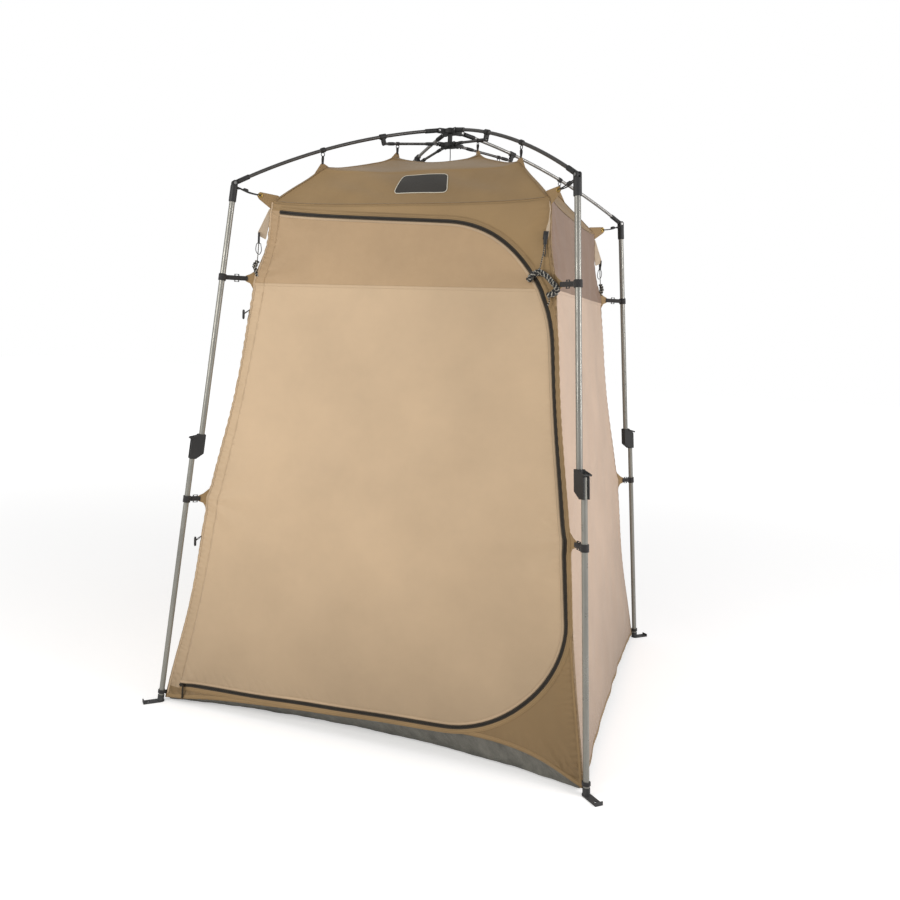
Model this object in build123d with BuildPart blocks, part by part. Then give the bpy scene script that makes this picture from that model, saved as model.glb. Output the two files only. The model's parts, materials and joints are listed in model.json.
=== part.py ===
from build123d import *

import os
from math import asin, atan2, cos, degrees, hypot, sin, sqrt

# Privacy shower tent on a folding frame of four legs and four roof ribs.
#
# Millimetres. The origin is on the ground at the middle of the tent, +Z is up, the door
# faces -Y, and the four legs stand on the diagonals. The frame pieces of one corner are
# drawn in the X-Z plane, where X is the distance from the centre line, and are then
# turned about Z to each corner. Along a leg, "down" is the distance from its corner
# pivot and "out" is the distance away from the tent, square to the leg.

# ---------------------------------------------------------------- driving dimensions
FOOT_HALF = 760.0  # half of the square on which the lower legs meet the ground
CORNER_HALF = 597.5  # half of the square of the corner pivots
CORNER_Z = 1860.0
HUB_PIVOT_R = 50.0
HUB_PIVOT_Z = 2140.0
LOWER_HUB_Z = 2089.0
RIB_ARC_RADIUS = 2560.0
BRACKET_ALONG = 241.0  # from the hub pivot, along the rib
BRACKET_DROP = 26.0  # strut pivot below the rib's centre line

RIB_R = 6.35
STRUT_R = 5.0
UPPER_LEG_R = 10.0
LOWER_LEG_R = 9.5
TUBE_WALL = 1.2
LEG_GAP = 23.5  # between the centre lines of the upper and the lower leg

PIN_R = 3.0
STRUT_PIN_R = 2.5
RUNNING_GAP = 0.05
SOCKET_GAP = 0.2
TONGUE_HALF = 3.5  # half thickness of every pivot tongue
FORK_GAP = 3.8  # half width of every fork's gap

BASE_HALF = 750.0  # half width of the fabric at the ground
EAVE_HALF = 503.0
EAVE_Z = 1790.0
BAND_MIDDLE_HALF = 353.0
BAND_MIDDLE_Z = 1938.0
BAND_TOP_HALF = 162.0
BAND_TOP_Z = 2008.0
FABRIC = 0.6
SEAM_GAP = 8.0  # the corner seams stay this far inside the wall lines
ZIP_GAP = 3.0

CORNERS = {"back_right": 45, "back_left": 135, "front_left": 225, "front_right": 315}

# ---------------------------------------------------------------- worked-out geometry
CORNER_R = CORNER_HALF * sqrt(2)
FOOT_R = FOOT_HALF * sqrt(2)
CORNER_PIVOT = Vector(CORNER_R, 0, CORNER_Z)
HUB_PIVOT = Vector(HUB_PIVOT_R, 0, HUB_PIVOT_Z)
LOWER_PIVOT = Vector(HUB_PIVOT_R, 0, LOWER_HUB_Z)

RIB_CHORD = (CORNER_PIVOT - HUB_PIVOT).length
RIB_DROP = atan2(HUB_PIVOT_Z - CORNER_Z, CORNER_R - HUB_PIVOT_R)
RIB_HALF_TURN = asin(RIB_CHORD / 2 / RIB_ARC_RADIUS)
RIB_LENGTH = 2 * RIB_HALF_TURN * RIB_ARC_RADIUS
RIB_CENTRE = (HUB_PIVOT + CORNER_PIVOT) / 2 - Vector(
    sin(RIB_DROP), 0, cos(RIB_DROP)
) * (RIB_ARC_RADIUS * cos(RIB_HALF_TURN))

# The lower leg stands LEG_GAP outside the upper one, so the upper leg's line is aimed
# that much inside the foot.
FOOT_REACH = hypot(FOOT_R - CORNER_R, CORNER_Z)
LEG_LEAN = atan2(FOOT_R - CORNER_R, CORNER_Z) - asin(LEG_GAP / FOOT_REACH)
LEG_TO_GROUND = sqrt(FOOT_REACH**2 - LEG_GAP**2)
WALL_LEAN = atan2(BASE_HALF - EAVE_HALF, EAVE_Z)


def rib_point(along):
    """Point of the rib's centre line, a distance along the arc from the hub pivot."""
    turn = RIB_DROP - RIB_HALF_TURN + along / RIB_ARC_RADIUS
    return RIB_CENTRE + Vector(sin(turn), 0, cos(turn)) * RIB_ARC_RADIUS


def side_plane(origin, toward):
    """X-Z plane with its x from origin towards a point, and y to the upper or outer side."""
    return Plane(origin=origin, x_dir=toward - origin, z_dir=(0, -1, 0))


def cross_plane(side, along, out=0.0):
    """Plane square to a side plane's x, a distance along it; its y is the side plane's y."""
    centre = side.from_local_coords(Vector(along, out, 0))
    return Plane(origin=centre, x_dir=(0, 1, 0), z_dir=side.x_dir)


def corner_plane(angle, height):
    """Upright plane through the centre line; its x points along a diagonal."""
    diagonal = Vector(1, 0, 0).rotate(Axis.Z, angle)
    return Plane(
        origin=(0, 0, height), x_dir=diagonal, z_dir=diagonal.rotate(Axis.Z, -90)
    )


def wall_plane():
    """Outer face of the front wall: x is level, y runs up the slope, z points outwards."""
    outward = (0, -cos(WALL_LEAN), sin(WALL_LEAN))
    return Plane(origin=(0, -BASE_HALF, 0), x_dir=(1, 0, 0), z_dir=outward)


def wall_point(x, height):
    """Wall coordinates of a point at a level x and a height above the ground."""
    return (x, height / cos(WALL_LEAN))


def seam_half(height):
    """Half width of a wall panel at a height."""
    return BASE_HALF + (EAVE_HALF - BASE_HALF) * height / EAVE_Z - SEAM_GAP


LEG = side_plane(
    CORNER_PIVOT, CORNER_PIVOT + Vector(sin(LEG_LEAN), 0, -cos(LEG_LEAN))
)


def save(piece, name):
    """Writes one finished piece under its own name."""
    piece.label = name
    export_step(piece, f"parts/{name}.step")


def save_at_corners(piece, name):
    """Turns a corner piece to each of the four corners and writes the four copies."""
    for corner, angle in CORNERS.items():
        save(piece.rotate(Axis.Z, angle), f"{corner}_{name}")


def cylinder_along(side, start, end, radius, out=0.0, mode=Mode.ADD):
    """Round bar along a side plane's x, from start to end."""
    with BuildSketch(cross_plane(side, start, out)) as section:
        Circle(radius)
    extrude(section.sketch, amount=end - start, mode=mode)


def cross_bar(side, along, out, radius, half_length, mode=Mode.ADD):
    """Round bar or hole square to a side plane, centred on it."""
    with BuildSketch(side) as section:
        with Locations((along, out)):
            Circle(radius)
    extrude(section.sketch, amount=half_length, both=True, mode=mode)


# ---------------------------------------------------------------- roof ribs
RIB_END_R = 8.5
RIB_END_START = 14.0
RIB_END_LENGTH = 58.0
RIB_TUBE_START = 18.0
TONGUE_R = 8.0


def make_rib():
    """Bent tube from the hub to a corner."""
    first, last = rib_point(RIB_TUBE_START), rib_point(RIB_LENGTH - RIB_TUBE_START)
    with BuildPart() as rib:
        with BuildLine() as centre_line:
            ThreePointArc(first, rib_point(RIB_LENGTH / 2), last)
        with BuildSketch(Plane(origin=first, z_dir=centre_line.line % 0)):
            Circle(RIB_R)
            Circle(RIB_R - TUBE_WALL, mode=Mode.SUBTRACT)
        sweep()
    return rib.part


def make_rib_ends():
    """The two moulded eyes of a rib: a tongue on the pivot and a socket over the tube."""
    hub_end = side_plane(HUB_PIVOT, rib_point(RIB_END_LENGTH))
    corner_end = side_plane(CORNER_PIVOT, rib_point(RIB_LENGTH - RIB_END_LENGTH))
    with BuildPart() as ends:
        for side in (hub_end, corner_end):
            with BuildSketch(side):
                Circle(TONGUE_R)
                with Locations((RIB_END_START / 2, 0)):
                    Rectangle(RIB_END_START, 2 * TONGUE_R)
            extrude(amount=TONGUE_HALF, both=True)
            cylinder_along(side, RIB_END_START - 1, RIB_END_LENGTH, RIB_END_R)
            cylinder_along(
                side,
                RIB_TUBE_START - 1,
                RIB_END_LENGTH + 1,
                RIB_R + SOCKET_GAP,
                mode=Mode.SUBTRACT,
            )
            cross_bar(side, 0, 0, PIN_R + RUNNING_GAP, 10, mode=Mode.SUBTRACT)
    return ends.part


BRACKET_SEAT = side_plane(rib_point(BRACKET_ALONG), rib_point(BRACKET_ALONG + 1))
BRACKET_PIVOT = BRACKET_SEAT.from_local_coords(Vector(0, -BRACKET_DROP, 0))
BRACKET_COLLAR_R = 10.0
BRACKET_COLLAR_HALF = 12.0
BRACKET_EAR_R = 6.5
EAR_THICKNESS = 3.6


def make_rib_bracket():
    """Collar clamped on the rib, with a fork below it that carries the strut."""
    web_bottom = BRACKET_DROP - 8
    with BuildPart() as bracket:
        cylinder_along(
            BRACKET_SEAT, -BRACKET_COLLAR_HALF, BRACKET_COLLAR_HALF, BRACKET_COLLAR_R
        )
        with BuildSketch(BRACKET_SEAT):
            with Locations((0, -BRACKET_DROP / 2)):
                Rectangle(2 * BRACKET_EAR_R, BRACKET_DROP)
            with Locations((0, -BRACKET_DROP)):
                Circle(BRACKET_EAR_R)
        extrude(amount=FORK_GAP + EAR_THICKNESS, both=True)
        with BuildSketch(BRACKET_SEAT):
            with Locations((0, -web_bottom - BRACKET_DROP / 2)):
                Rectangle(4 * BRACKET_EAR_R, BRACKET_DROP)
        extrude(amount=FORK_GAP, both=True, mode=Mode.SUBTRACT)
        cylinder_along(
            BRACKET_SEAT, -20, 20, RIB_R + SOCKET_GAP, mode=Mode.SUBTRACT
        )
        cross_bar(
            BRACKET_SEAT, 0, -BRACKET_DROP, STRUT_PIN_R, FORK_GAP + EAR_THICKNESS + 0.8
        )
    return bracket.part


# ---------------------------------------------------------------- struts
STRUT_TONGUE_R = 5.6
STRUT_TONGUE_REACH = 20.0
STRUT_TUBE_START = 12.0
STRUT_END_HALF = STRUT_R - 0.2  # half thickness of the block that carries the snap-in pin
TRUNNION_HALF = 9.0


def make_strut():
    """Stay from the rib's bracket to the lower hub, with a snap-in pin at its hub end."""
    side = side_plane(BRACKET_PIVOT, LOWER_PIVOT)
    length = (LOWER_PIVOT - BRACKET_PIVOT).length
    with BuildPart() as strut:
        for end, inward, half in ((0, 1, TONGUE_HALF), (length, -1, STRUT_END_HALF)):
            with BuildSketch(side):
                with Locations((end, 0)):
                    Circle(STRUT_TONGUE_R)
                with Locations((end + inward * STRUT_TONGUE_REACH / 2, 0)):
                    Rectangle(STRUT_TONGUE_REACH, 2 * STRUT_R - 1)
            extrude(amount=half, both=True)
        cylinder_along(side, STRUT_TUBE_START, length - STRUT_TUBE_START - 2, STRUT_R)
        cross_bar(side, 0, 0, STRUT_PIN_R + RUNNING_GAP, 10, mode=Mode.SUBTRACT)
        cross_bar(side, length, 0, STRUT_PIN_R, TRUNNION_HALF)
    return strut.part


# ---------------------------------------------------------------- hubs
HUB_R = 30.0
HUB_HALF_HEIGHT = 9.0
HUB_EAR_R = 9.0
HUB_SLOT_FLOOR = 38.0
HUB_ARM_HALF = 8.0
BOSS_R = 9.0
BOSS_BOTTOM_Z = LOWER_HUB_Z - 10
BUTTON_R = 14.0
BUTTON_HEIGHT = 6.0
LOWER_HUB_R = 31.0
LOWER_EAR_R = 7.0
LOWER_SLOT_FLOOR = 33.0
LOWER_FORK_GAP = STRUT_R + 0.3  # lets the whole strut swing between the ears
LOWER_ARM_HALF = 9.6
# A strut's pin leaves the lower hub down and inwards, at this angle from upright.
NOTCH_ANGLE = 31.5
NOTCH_HALF = STRUT_PIN_R + 0.35
NOTCH_LENGTH = 16.0


def add_fork_arm(plane, reach, ear_r, half_width, gap, slot_floor):
    """One arm of a hub: a bar with a rounded end, slotted for what turns in it."""
    with BuildSketch(plane) as bar:
        with Locations((reach / 2, 0)):
            Rectangle(reach, 2 * ear_r)
        with Locations((reach, 0)):
            Circle(ear_r)
    extrude(bar.sketch, amount=half_width, both=True)
    slot_length = reach + 2 * ear_r - slot_floor
    with BuildSketch(plane) as slot:
        with Locations((slot_floor + slot_length / 2, 0)):
            Rectangle(slot_length, 4 * ear_r)
    extrude(slot.sketch, amount=gap, both=True, mode=Mode.SUBTRACT)


def make_upper_hub():
    """Top hub: four forks for the ribs, a push button, and a boss for the lower hub."""
    with BuildPart() as hub:
        with BuildSketch(Plane.XY.offset(HUB_PIVOT_Z - HUB_HALF_HEIGHT)):
            Circle(HUB_R)
        extrude(amount=2 * HUB_HALF_HEIGHT)
        fillet(hub.edges().filter_by(GeomType.CIRCLE), radius=3)
        for angle in CORNERS.values():
            plane = corner_plane(angle, HUB_PIVOT_Z)
            add_fork_arm(
                plane, HUB_PIVOT_R, HUB_EAR_R, HUB_ARM_HALF, FORK_GAP, HUB_SLOT_FLOOR
            )
            with BuildSketch(plane):
                with Locations((HUB_PIVOT_R, 0)):
                    Circle(PIN_R + RUNNING_GAP)
            extrude(amount=12, both=True, mode=Mode.SUBTRACT)
        with BuildSketch(Plane.XY.offset(BOSS_BOTTOM_Z)):
            Circle(BOSS_R)
        extrude(amount=HUB_PIVOT_Z - BOSS_BOTTOM_Z)
        chamfer(hub.faces().sort_by(Axis.Z)[0].edges(), length=2)
        with BuildSketch(Plane.XY.offset(HUB_PIVOT_Z)):
            Circle(BUTTON_R)
        extrude(amount=HUB_HALF_HEIGHT + BUTTON_HEIGHT)
        fillet(hub.faces().sort_by(Axis.Z)[-1].edges(), radius=4)
    return hub.part


def make_hub_pins():
    """The four rivets on which the ribs turn in the upper hub."""
    with BuildPart() as pins:
        for angle in CORNERS.values():
            plane = corner_plane(angle, HUB_PIVOT_Z)
            with BuildSketch(plane):
                with Locations((HUB_PIVOT_R, 0)):
                    Circle(PIN_R)
            extrude(amount=9.4, both=True)
            for face in (plane.offset(8.1), plane.offset(-9.4)):
                with BuildSketch(face):
                    with Locations((HUB_PIVOT_R, 0)):
                        Circle(PIN_R + 1.5)
                extrude(amount=1.3)
    return pins.part


def make_lower_hub():
    """Sliding hub: its hooks hold the struts' pins, and its bore seats on the boss."""
    with BuildPart() as hub:
        with BuildSketch(Plane.XY.offset(LOWER_HUB_Z - 8)):
            Circle(LOWER_HUB_R)
        extrude(amount=16)
        fillet(hub.edges().filter_by(GeomType.CIRCLE), radius=2.5)
        for angle in CORNERS.values():
            plane = corner_plane(angle, LOWER_HUB_Z)
            add_fork_arm(
                plane,
                HUB_PIVOT_R,
                LOWER_EAR_R,
                LOWER_ARM_HALF,
                LOWER_FORK_GAP,
                LOWER_SLOT_FLOOR,
            )
            with BuildSketch(plane):
                with Locations((HUB_PIVOT_R, 0)):
                    Circle(NOTCH_HALF)
                    with Locations(Rotation(0, 0, -NOTCH_ANGLE)):
                        with Locations((0, -NOTCH_LENGTH / 2)):
                            Rectangle(2 * NOTCH_HALF, NOTCH_LENGTH)
            extrude(amount=12, both=True, mode=Mode.SUBTRACT)
        with BuildSketch(Plane.XY.offset(LOWER_HUB_Z - 10)):
            Circle(BOSS_R + 0.6)
        extrude(amount=20, mode=Mode.SUBTRACT)
    return hub.part


# ---------------------------------------------------------------- legs
CAP_R = 13.0
CAP_EAR_R = 10.0
CAP_EAR_THICKNESS = 5.0
CAP_WEB = 10.5  # the fork's floor, below the corner pivot
CAP_SOCKET = 22.0
CAP_END = 66.0

HOUSING_TOP = 895.0
HOUSING_BOTTOM = 985.0
HOUSING_IN = -13.5
HOUSING_OUT = 35.5
HOUSING_HALF = 12.5
TOP_CHAMFER = 23.0
UPPER_LEG_END = 955.0
SEAT = HOUSING_TOP + TOP_CHAMFER  # where the lower leg's end cap comes to rest
CHANNEL_MOUTH = 7.0

END_CAP_R = 11.0
END_CAP_HEIGHT = 10.0
LEVER_PIVOT = (902.0, 11.0)  # down and out
LEVER_BAR = (912.0, 38.7)
LEVER_THICKNESS = 2.4
LEVER_WIDTH = 6.5

LOWER_LEG_END = LEG_TO_GROUND - 12
FOOT_SOCKET_TOP = LEG_TO_GROUND - 24
FOOT_SOCKET_R = 11.6
FOOT_WIDTH = 28.0
FOOT_PLATE = 4.0
FOOT_REACH_OUT = 62.0
STAKE_HOLE_R = 5.5
STAKE_HOLE_OUT = 44.0


def make_upper_leg():
    """Upper leg tube, from the corner cap into the slide housing."""
    with BuildPart() as leg:
        cylinder_along(LEG, CAP_SOCKET + 0.5, UPPER_LEG_END, UPPER_LEG_R)
        cylinder_along(
            LEG, CAP_SOCKET, UPPER_LEG_END + 1, UPPER_LEG_R - TUBE_WALL, mode=Mode.SUBTRACT
        )
    return leg.part


def make_corner_cap():
    """Moulded cap on the leg, with the fork in which the rib's end turns."""
    with BuildPart() as cap:
        with BuildSketch(LEG):
            Circle(CAP_EAR_R)
            with Locations((CAP_WEB, 0)):
                Rectangle(2 * CAP_WEB, 2 * CAP_EAR_R)
        extrude(amount=FORK_GAP + CAP_EAR_THICKNESS, both=True)
        cylinder_along(LEG, CAP_WEB, CAP_END, CAP_R)
        fillet(cap.edges().filter_by(GeomType.CIRCLE).sort_by(Axis.Z)[0], radius=2)
        with BuildSketch(LEG):
            Rectangle(2 * CAP_WEB, 4 * CAP_EAR_R)
        extrude(amount=FORK_GAP, both=True, mode=Mode.SUBTRACT)
        cylinder_along(
            LEG, CAP_SOCKET, CAP_END + 1, UPPER_LEG_R + SOCKET_GAP / 2, mode=Mode.SUBTRACT
        )
        cross_bar(LEG, 0, 0, PIN_R + RUNNING_GAP, 12, mode=Mode.SUBTRACT)
    return cap.part


def make_corner_pin():
    """Rivet through the corner cap's fork and the rib's end."""
    half = FORK_GAP + CAP_EAR_THICKNESS
    with BuildPart() as pin:
        cross_bar(LEG, 0, 0, PIN_R, half + 1.4)
        for face in (LEG.offset(half + 0.1), LEG.offset(-half - 1.4)):
            with BuildSketch(face):
                Circle(PIN_R + 2)
            extrude(amount=1.3)
    return pin.part


def make_slide_housing():
    """Housing fixed on the upper leg, with an open channel in which the lower leg slides."""
    with BuildPart() as housing:
        with BuildSketch(LEG):
            with BuildLine():
                Polyline(
                    (HOUSING_TOP, HOUSING_IN),
                    (HOUSING_TOP, HOUSING_OUT - TOP_CHAMFER),
                    (HOUSING_TOP + TOP_CHAMFER, HOUSING_OUT),
                    (HOUSING_BOTTOM, HOUSING_OUT),
                    (HOUSING_BOTTOM, 12.0),
                    (HOUSING_BOTTOM - 22, HOUSING_IN),
                    close=True,
                )
            make_face()
        extrude(amount=HOUSING_HALF, both=True)
        side_faces = housing.faces().filter_by(Axis.Y)
        fillet(side_faces.edges(), radius=2)
        cylinder_along(
            LEG,
            HOUSING_TOP - 5,
            UPPER_LEG_END + 1,
            UPPER_LEG_R + SOCKET_GAP / 2,
            mode=Mode.SUBTRACT,
        )
        cylinder_along(
            LEG,
            HOUSING_TOP - 5,
            HOUSING_BOTTOM + 5,
            LOWER_LEG_R + 0.08,
            out=LEG_GAP,
            mode=Mode.SUBTRACT,
        )
        cylinder_along(
            LEG, HOUSING_TOP - 5, SEAT, END_CAP_R + 0.3, out=LEG_GAP, mode=Mode.SUBTRACT
        )
        with BuildSketch(cross_plane(LEG, HOUSING_TOP - 5, LEG_GAP + 10)):
            Rectangle(2 * CHANNEL_MOUTH, 20)
        extrude(amount=HOUSING_BOTTOM - HOUSING_TOP + 10, mode=Mode.SUBTRACT)
        down, out = LEVER_PIVOT
        for face in (LEG.offset(HOUSING_HALF - 2.4), LEG.offset(-HOUSING_HALF)):
            with BuildSketch(face):
                with Locations((down, out)):
                    Circle(2.05)
            extrude(amount=2.4, mode=Mode.SUBTRACT)
    return housing.part


def make_lock_lever():
    """Bail that clamps the lower leg: two arms on trunnions, and a thumb bar across them."""
    down, out = LEVER_PIVOT
    bar_down, bar_out = LEVER_BAR
    tilt = degrees(atan2(bar_out - out, bar_down - down))
    reach = hypot(bar_down - down, bar_out - out)
    arm_face = HOUSING_HALF + 0.2
    with BuildPart() as lever:
        for face in (LEG.offset(arm_face), LEG.offset(-arm_face - LEVER_THICKNESS)):
            with BuildSketch(face):
                with Locations(Location((down, out, 0), (0, 0, tilt))):
                    with Locations((reach / 2, 0)):
                        SlotCenterToCenter(reach, LEVER_WIDTH)
            extrude(amount=LEVER_THICKNESS)
        with BuildSketch(LEG):
            with Locations((bar_down, bar_out)):
                Circle(3.0)
        extrude(amount=arm_face + LEVER_THICKNESS, both=True)
        for face in (LEG.offset(arm_face - 2.2), LEG.offset(-arm_face)):
            with BuildSketch(face):
                with Locations((down, out)):
                    Circle(2.0)
            extrude(amount=2.2)
    return lever.part


def make_leg_end_cap():
    """Plug in the top of the lower leg, and the stop that rests on the housing's seat."""
    with BuildPart() as cap:
        cylinder_along(
            LEG, SEAT - END_CAP_HEIGHT - 0.2, SEAT - 0.2, END_CAP_R, out=LEG_GAP
        )
        fillet(cap.edges().sort_by(Axis.Z)[-1], radius=2)
        cylinder_along(
            LEG, SEAT - 0.3, SEAT + 18, LOWER_LEG_R - TUBE_WALL - 0.1, out=LEG_GAP
        )
    return cap.part


def make_lower_leg():
    """Lower leg tube, from its end cap to the foot."""
    with BuildPart() as leg:
        cylinder_along(LEG, SEAT, LOWER_LEG_END, LOWER_LEG_R, out=LEG_GAP)
        cylinder_along(
            LEG,
            SEAT - 1,
            LOWER_LEG_END + 1,
            LOWER_LEG_R - TUBE_WALL,
            out=LEG_GAP,
            mode=Mode.SUBTRACT,
        )
    return leg.part


def make_foot():
    """Foot: a socket on the leaning tube and a level plate with a stake hole and a lip."""
    with BuildPart() as foot:
        with BuildSketch(Plane.XY):
            with Locations((FOOT_R, 0)):
                Circle(FOOT_WIDTH / 2)
            with Locations((FOOT_R + FOOT_REACH_OUT / 2, 0)):
                Rectangle(FOOT_REACH_OUT, FOOT_WIDTH)
        extrude(amount=FOOT_PLATE)
        with BuildSketch(Plane.XY):
            with Locations((FOOT_R + FOOT_REACH_OUT - 2, 0)):
                Rectangle(4, FOOT_WIDTH)
        extrude(amount=11)
        fillet(foot.edges().filter_by(Axis.Z).sort_by(Axis.X)[-2:], radius=1.5)
        with BuildSketch(Plane.XY):
            with Locations((FOOT_R + STAKE_HOLE_OUT, 0)):
                Circle(STAKE_HOLE_R)
        extrude(amount=FOOT_PLATE, mode=Mode.SUBTRACT)
        cylinder_along(LEG, FOOT_SOCKET_TOP, LEG_TO_GROUND - 3, FOOT_SOCKET_R, out=LEG_GAP)
        cylinder_along(
            LEG,
            FOOT_SOCKET_TOP - 1,
            LOWER_LEG_END + 0.5,
            LOWER_LEG_R + SOCKET_GAP / 2,
            out=LEG_GAP,
            mode=Mode.SUBTRACT,
        )
    return foot.part


# ---------------------------------------------------------------- fabric
HEM_CORNER_Z = 12.0
SIDE_HEM_Z = 45.0
FLOOR_HALF = 740.0
FLOOR_FRONT_BOW = 100.0
FLOOR_SIDE_BOW = 25.0

ZIP_BOTTOM_START = (-690.0, 68.0)  # level x and height
ZIP_BOTTOM_END = (300.0, 112.0)
ZIP_SIDE_START = (664.0, 480.0)
ZIP_SIDE_END = (549.0, 1340.0)
ZIP_TOP_START = (170.0, 1733.0)
ZIP_TOP_END = (-463.0, 1762.0)
DOOR_MIDDLE = (0.0, 915.0)


def draw_door_outline(scale_about_middle=1.0):
    """The door's edge: straight runs joined by a wide lower curve and a wide shoulder."""

    def place(x, height):
        """Wall coordinates of an outline point, drawn in towards the door's middle."""
        mid_x, mid_z = DOOR_MIDDLE
        return wall_point(
            mid_x + (x - mid_x) * scale_about_middle,
            mid_z + (height - mid_z) * scale_about_middle,
        )

    bottom_start, bottom_end = place(*ZIP_BOTTOM_START), place(*ZIP_BOTTOM_END)
    side_start, side_end = place(*ZIP_SIDE_START), place(*ZIP_SIDE_END)
    top_start, top_end = place(*ZIP_TOP_START), place(*ZIP_TOP_END)
    Line(bottom_start, bottom_end)
    Bezier(bottom_end, place(500, 121), place(677, 320), side_start)
    Line(side_start, side_end)
    Bezier(side_end, place(520, 1540), place(380, 1722), top_start)
    Line(top_start, top_end)
    Line(top_end, bottom_start)


def draw_wall_sides():
    """The two seams and the eave of a wall panel."""
    low, high = seam_half(HEM_CORNER_Z), seam_half(EAVE_Z)
    Polyline(
        wall_point(-low, HEM_CORNER_Z),
        wall_point(-high, EAVE_Z),
        wall_point(high, EAVE_Z),
        wall_point(low, HEM_CORNER_Z),
    )


def make_plain_wall():
    """Wall panel without a door; its hem is a shallow arch."""
    low = seam_half(HEM_CORNER_Z)
    with BuildPart() as wall:
        with BuildSketch(wall_plane()):
            with BuildLine():
                draw_wall_sides()
                ThreePointArc(
                    wall_point(low, HEM_CORNER_Z),
                    wall_point(0, SIDE_HEM_Z),
                    wall_point(-low, HEM_CORNER_Z),
                )
            make_face()
        extrude(amount=-FABRIC)
    return wall.part


def make_front_wall():
    """Front panel with the door opening; its hem rises towards the right."""
    low = seam_half(HEM_CORNER_Z)
    with BuildPart() as wall:
        with BuildSketch(wall_plane()):
            with BuildLine():
                draw_wall_sides()
                Spline(
                    wall_point(low, HEM_CORNER_Z),
                    wall_point(560, 78),
                    wall_point(340, 92),
                    wall_point(-420, 42),
                    wall_point(-low, HEM_CORNER_Z),
                )
            make_face()
            with BuildLine():
                draw_door_outline()
            make_face(mode=Mode.SUBTRACT)
        extrude(amount=-FABRIC)
    return wall.part


def make_door_panel():
    """Door, which fills the front opening up to the zip."""
    with BuildPart() as door:
        with BuildSketch(wall_plane()):
            with BuildLine():
                draw_door_outline(1 - ZIP_GAP / abs(ZIP_TOP_END[0]))
            make_face()
        extrude(amount=-FABRIC)
    return door.part


BAND_LIFT = 4.0  # the bands start this far above the walls' top edge


def make_roof_bands():
    """Four bands from the eaves to the open top, steep at first and flatter above."""
    outer = [
        (EAVE_HALF, EAVE_Z + BAND_LIFT),
        (BAND_MIDDLE_HALF, BAND_MIDDLE_Z),
        (BAND_TOP_HALF, BAND_TOP_Z),
    ]
    inner = [(half, height - FABRIC) for half, height in reversed(outer)]
    reach = 2 * EAVE_HALF
    with BuildPart() as band:
        with BuildSketch(Plane.XZ):
            with BuildLine():
                Polyline(*outer, *inner, close=True)
            make_face()
        extrude(amount=EAVE_HALF, both=True)
        with BuildSketch(Plane.XY.offset(EAVE_Z - reach / 2)):
            with BuildLine():
                Polyline((SEAM_GAP, 0), (reach, reach - SEAM_GAP), (reach, SEAM_GAP - reach), close=True)
            make_face()
        extrude(amount=reach, mode=Mode.INTERSECT)
    with BuildPart() as bands:
        for quarter in range(4):
            add(band.part.rotate(Axis.Z, 90 * quarter))
    return bands.part


def make_floor_sheet():
    """Floor sheet; its front edge bows in behind the raised hem."""
    half = FLOOR_HALF
    with BuildPart() as floor:
        with BuildSketch(Plane.XY):
            with BuildLine():
                ThreePointArc((-half, -half), (0, FLOOR_FRONT_BOW - half), (half, -half))
                ThreePointArc((half, -half), (half - FLOOR_SIDE_BOW, 0), (half, half))
                ThreePointArc((half, half), (0, half - FLOOR_SIDE_BOW), (-half, half))
                ThreePointArc((-half, half), (FLOOR_SIDE_BOW - half, 0), (-half, -half))
            make_face()
        extrude(amount=FABRIC)
    return floor.part


# ---------------------------------------------------------------- zip
SLIDER_LENGTH = 17.0
SLIDER_WIDTH = 11.0
SLIDER_BASE = 0.8  # above the fabric's outer face
SLIDER_TOP = 4.8
PULL_BAR_R = 1.0
PULL_BAR_HEIGHT = 8.0
PULL_EYE_R = 2.6
PULL_LENGTH = 46.0
PULL_WIDTH = 7.0
PULL_HALF = 0.9

zip_start = Vector(*wall_point(*ZIP_BOTTOM_START))
zip_way = (Vector(*wall_point(*ZIP_BOTTOM_END)) - zip_start).normalized()
slider_centre = zip_start + zip_way * 16
wall = wall_plane()
SLIDER = Plane(
    origin=wall.from_local_coords(slider_centre),
    x_dir=wall.from_local_coords(zip_way) - wall.origin,
    z_dir=wall.z_dir,
)


def make_zipper_slider():
    """Slider on the bottom run of the zip, with the bar that carries its pull."""
    with BuildPart() as slider:
        with BuildSketch(SLIDER.offset(SLIDER_BASE)):
            RectangleRounded(SLIDER_LENGTH, SLIDER_WIDTH, 3)
        extrude(amount=SLIDER_TOP - SLIDER_BASE)
        with BuildSketch(SLIDER.offset(SLIDER_TOP - 0.5)):
            with Locations((-4.4, 0), (4.4, 0)):
                Rectangle(2, 4)
        extrude(amount=PULL_BAR_HEIGHT + 1.5 - SLIDER_TOP)
        bar_start = SLIDER.from_local_coords(Vector(-4.4, 0, PULL_BAR_HEIGHT))
        with BuildSketch(Plane(origin=bar_start, z_dir=SLIDER.x_dir)):
            Circle(PULL_BAR_R)
        extrude(amount=8.8)
    return slider.part


def make_zipper_pull():
    """Pull tab hanging from the slider's bar."""
    start = SLIDER.from_local_coords(Vector(-2.8, 0, PULL_BAR_HEIGHT))
    bar_plane = Plane(origin=start, x_dir=SLIDER.y_dir, z_dir=SLIDER.x_dir)
    with BuildPart() as pull:
        with BuildSketch(bar_plane):
            Circle(PULL_EYE_R)
        extrude(amount=5.6)
        with BuildSketch(SLIDER.offset(PULL_BAR_HEIGHT - PULL_HALF)):
            with Locations((0, -PULL_LENGTH / 2)):
                RectangleRounded(PULL_WIDTH - 1.6, PULL_LENGTH, 2)
            with Locations((0, -PULL_LENGTH / 2 - 4)):
                RectangleRounded(PULL_WIDTH, PULL_LENGTH - 8, 2.5)
        extrude(amount=2 * PULL_HALF)
        with BuildSketch(bar_plane.offset(-1)):
            Circle(PULL_BAR_R + RUNNING_GAP)
        extrude(amount=8, mode=Mode.SUBTRACT)
    return pull.part


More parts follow.
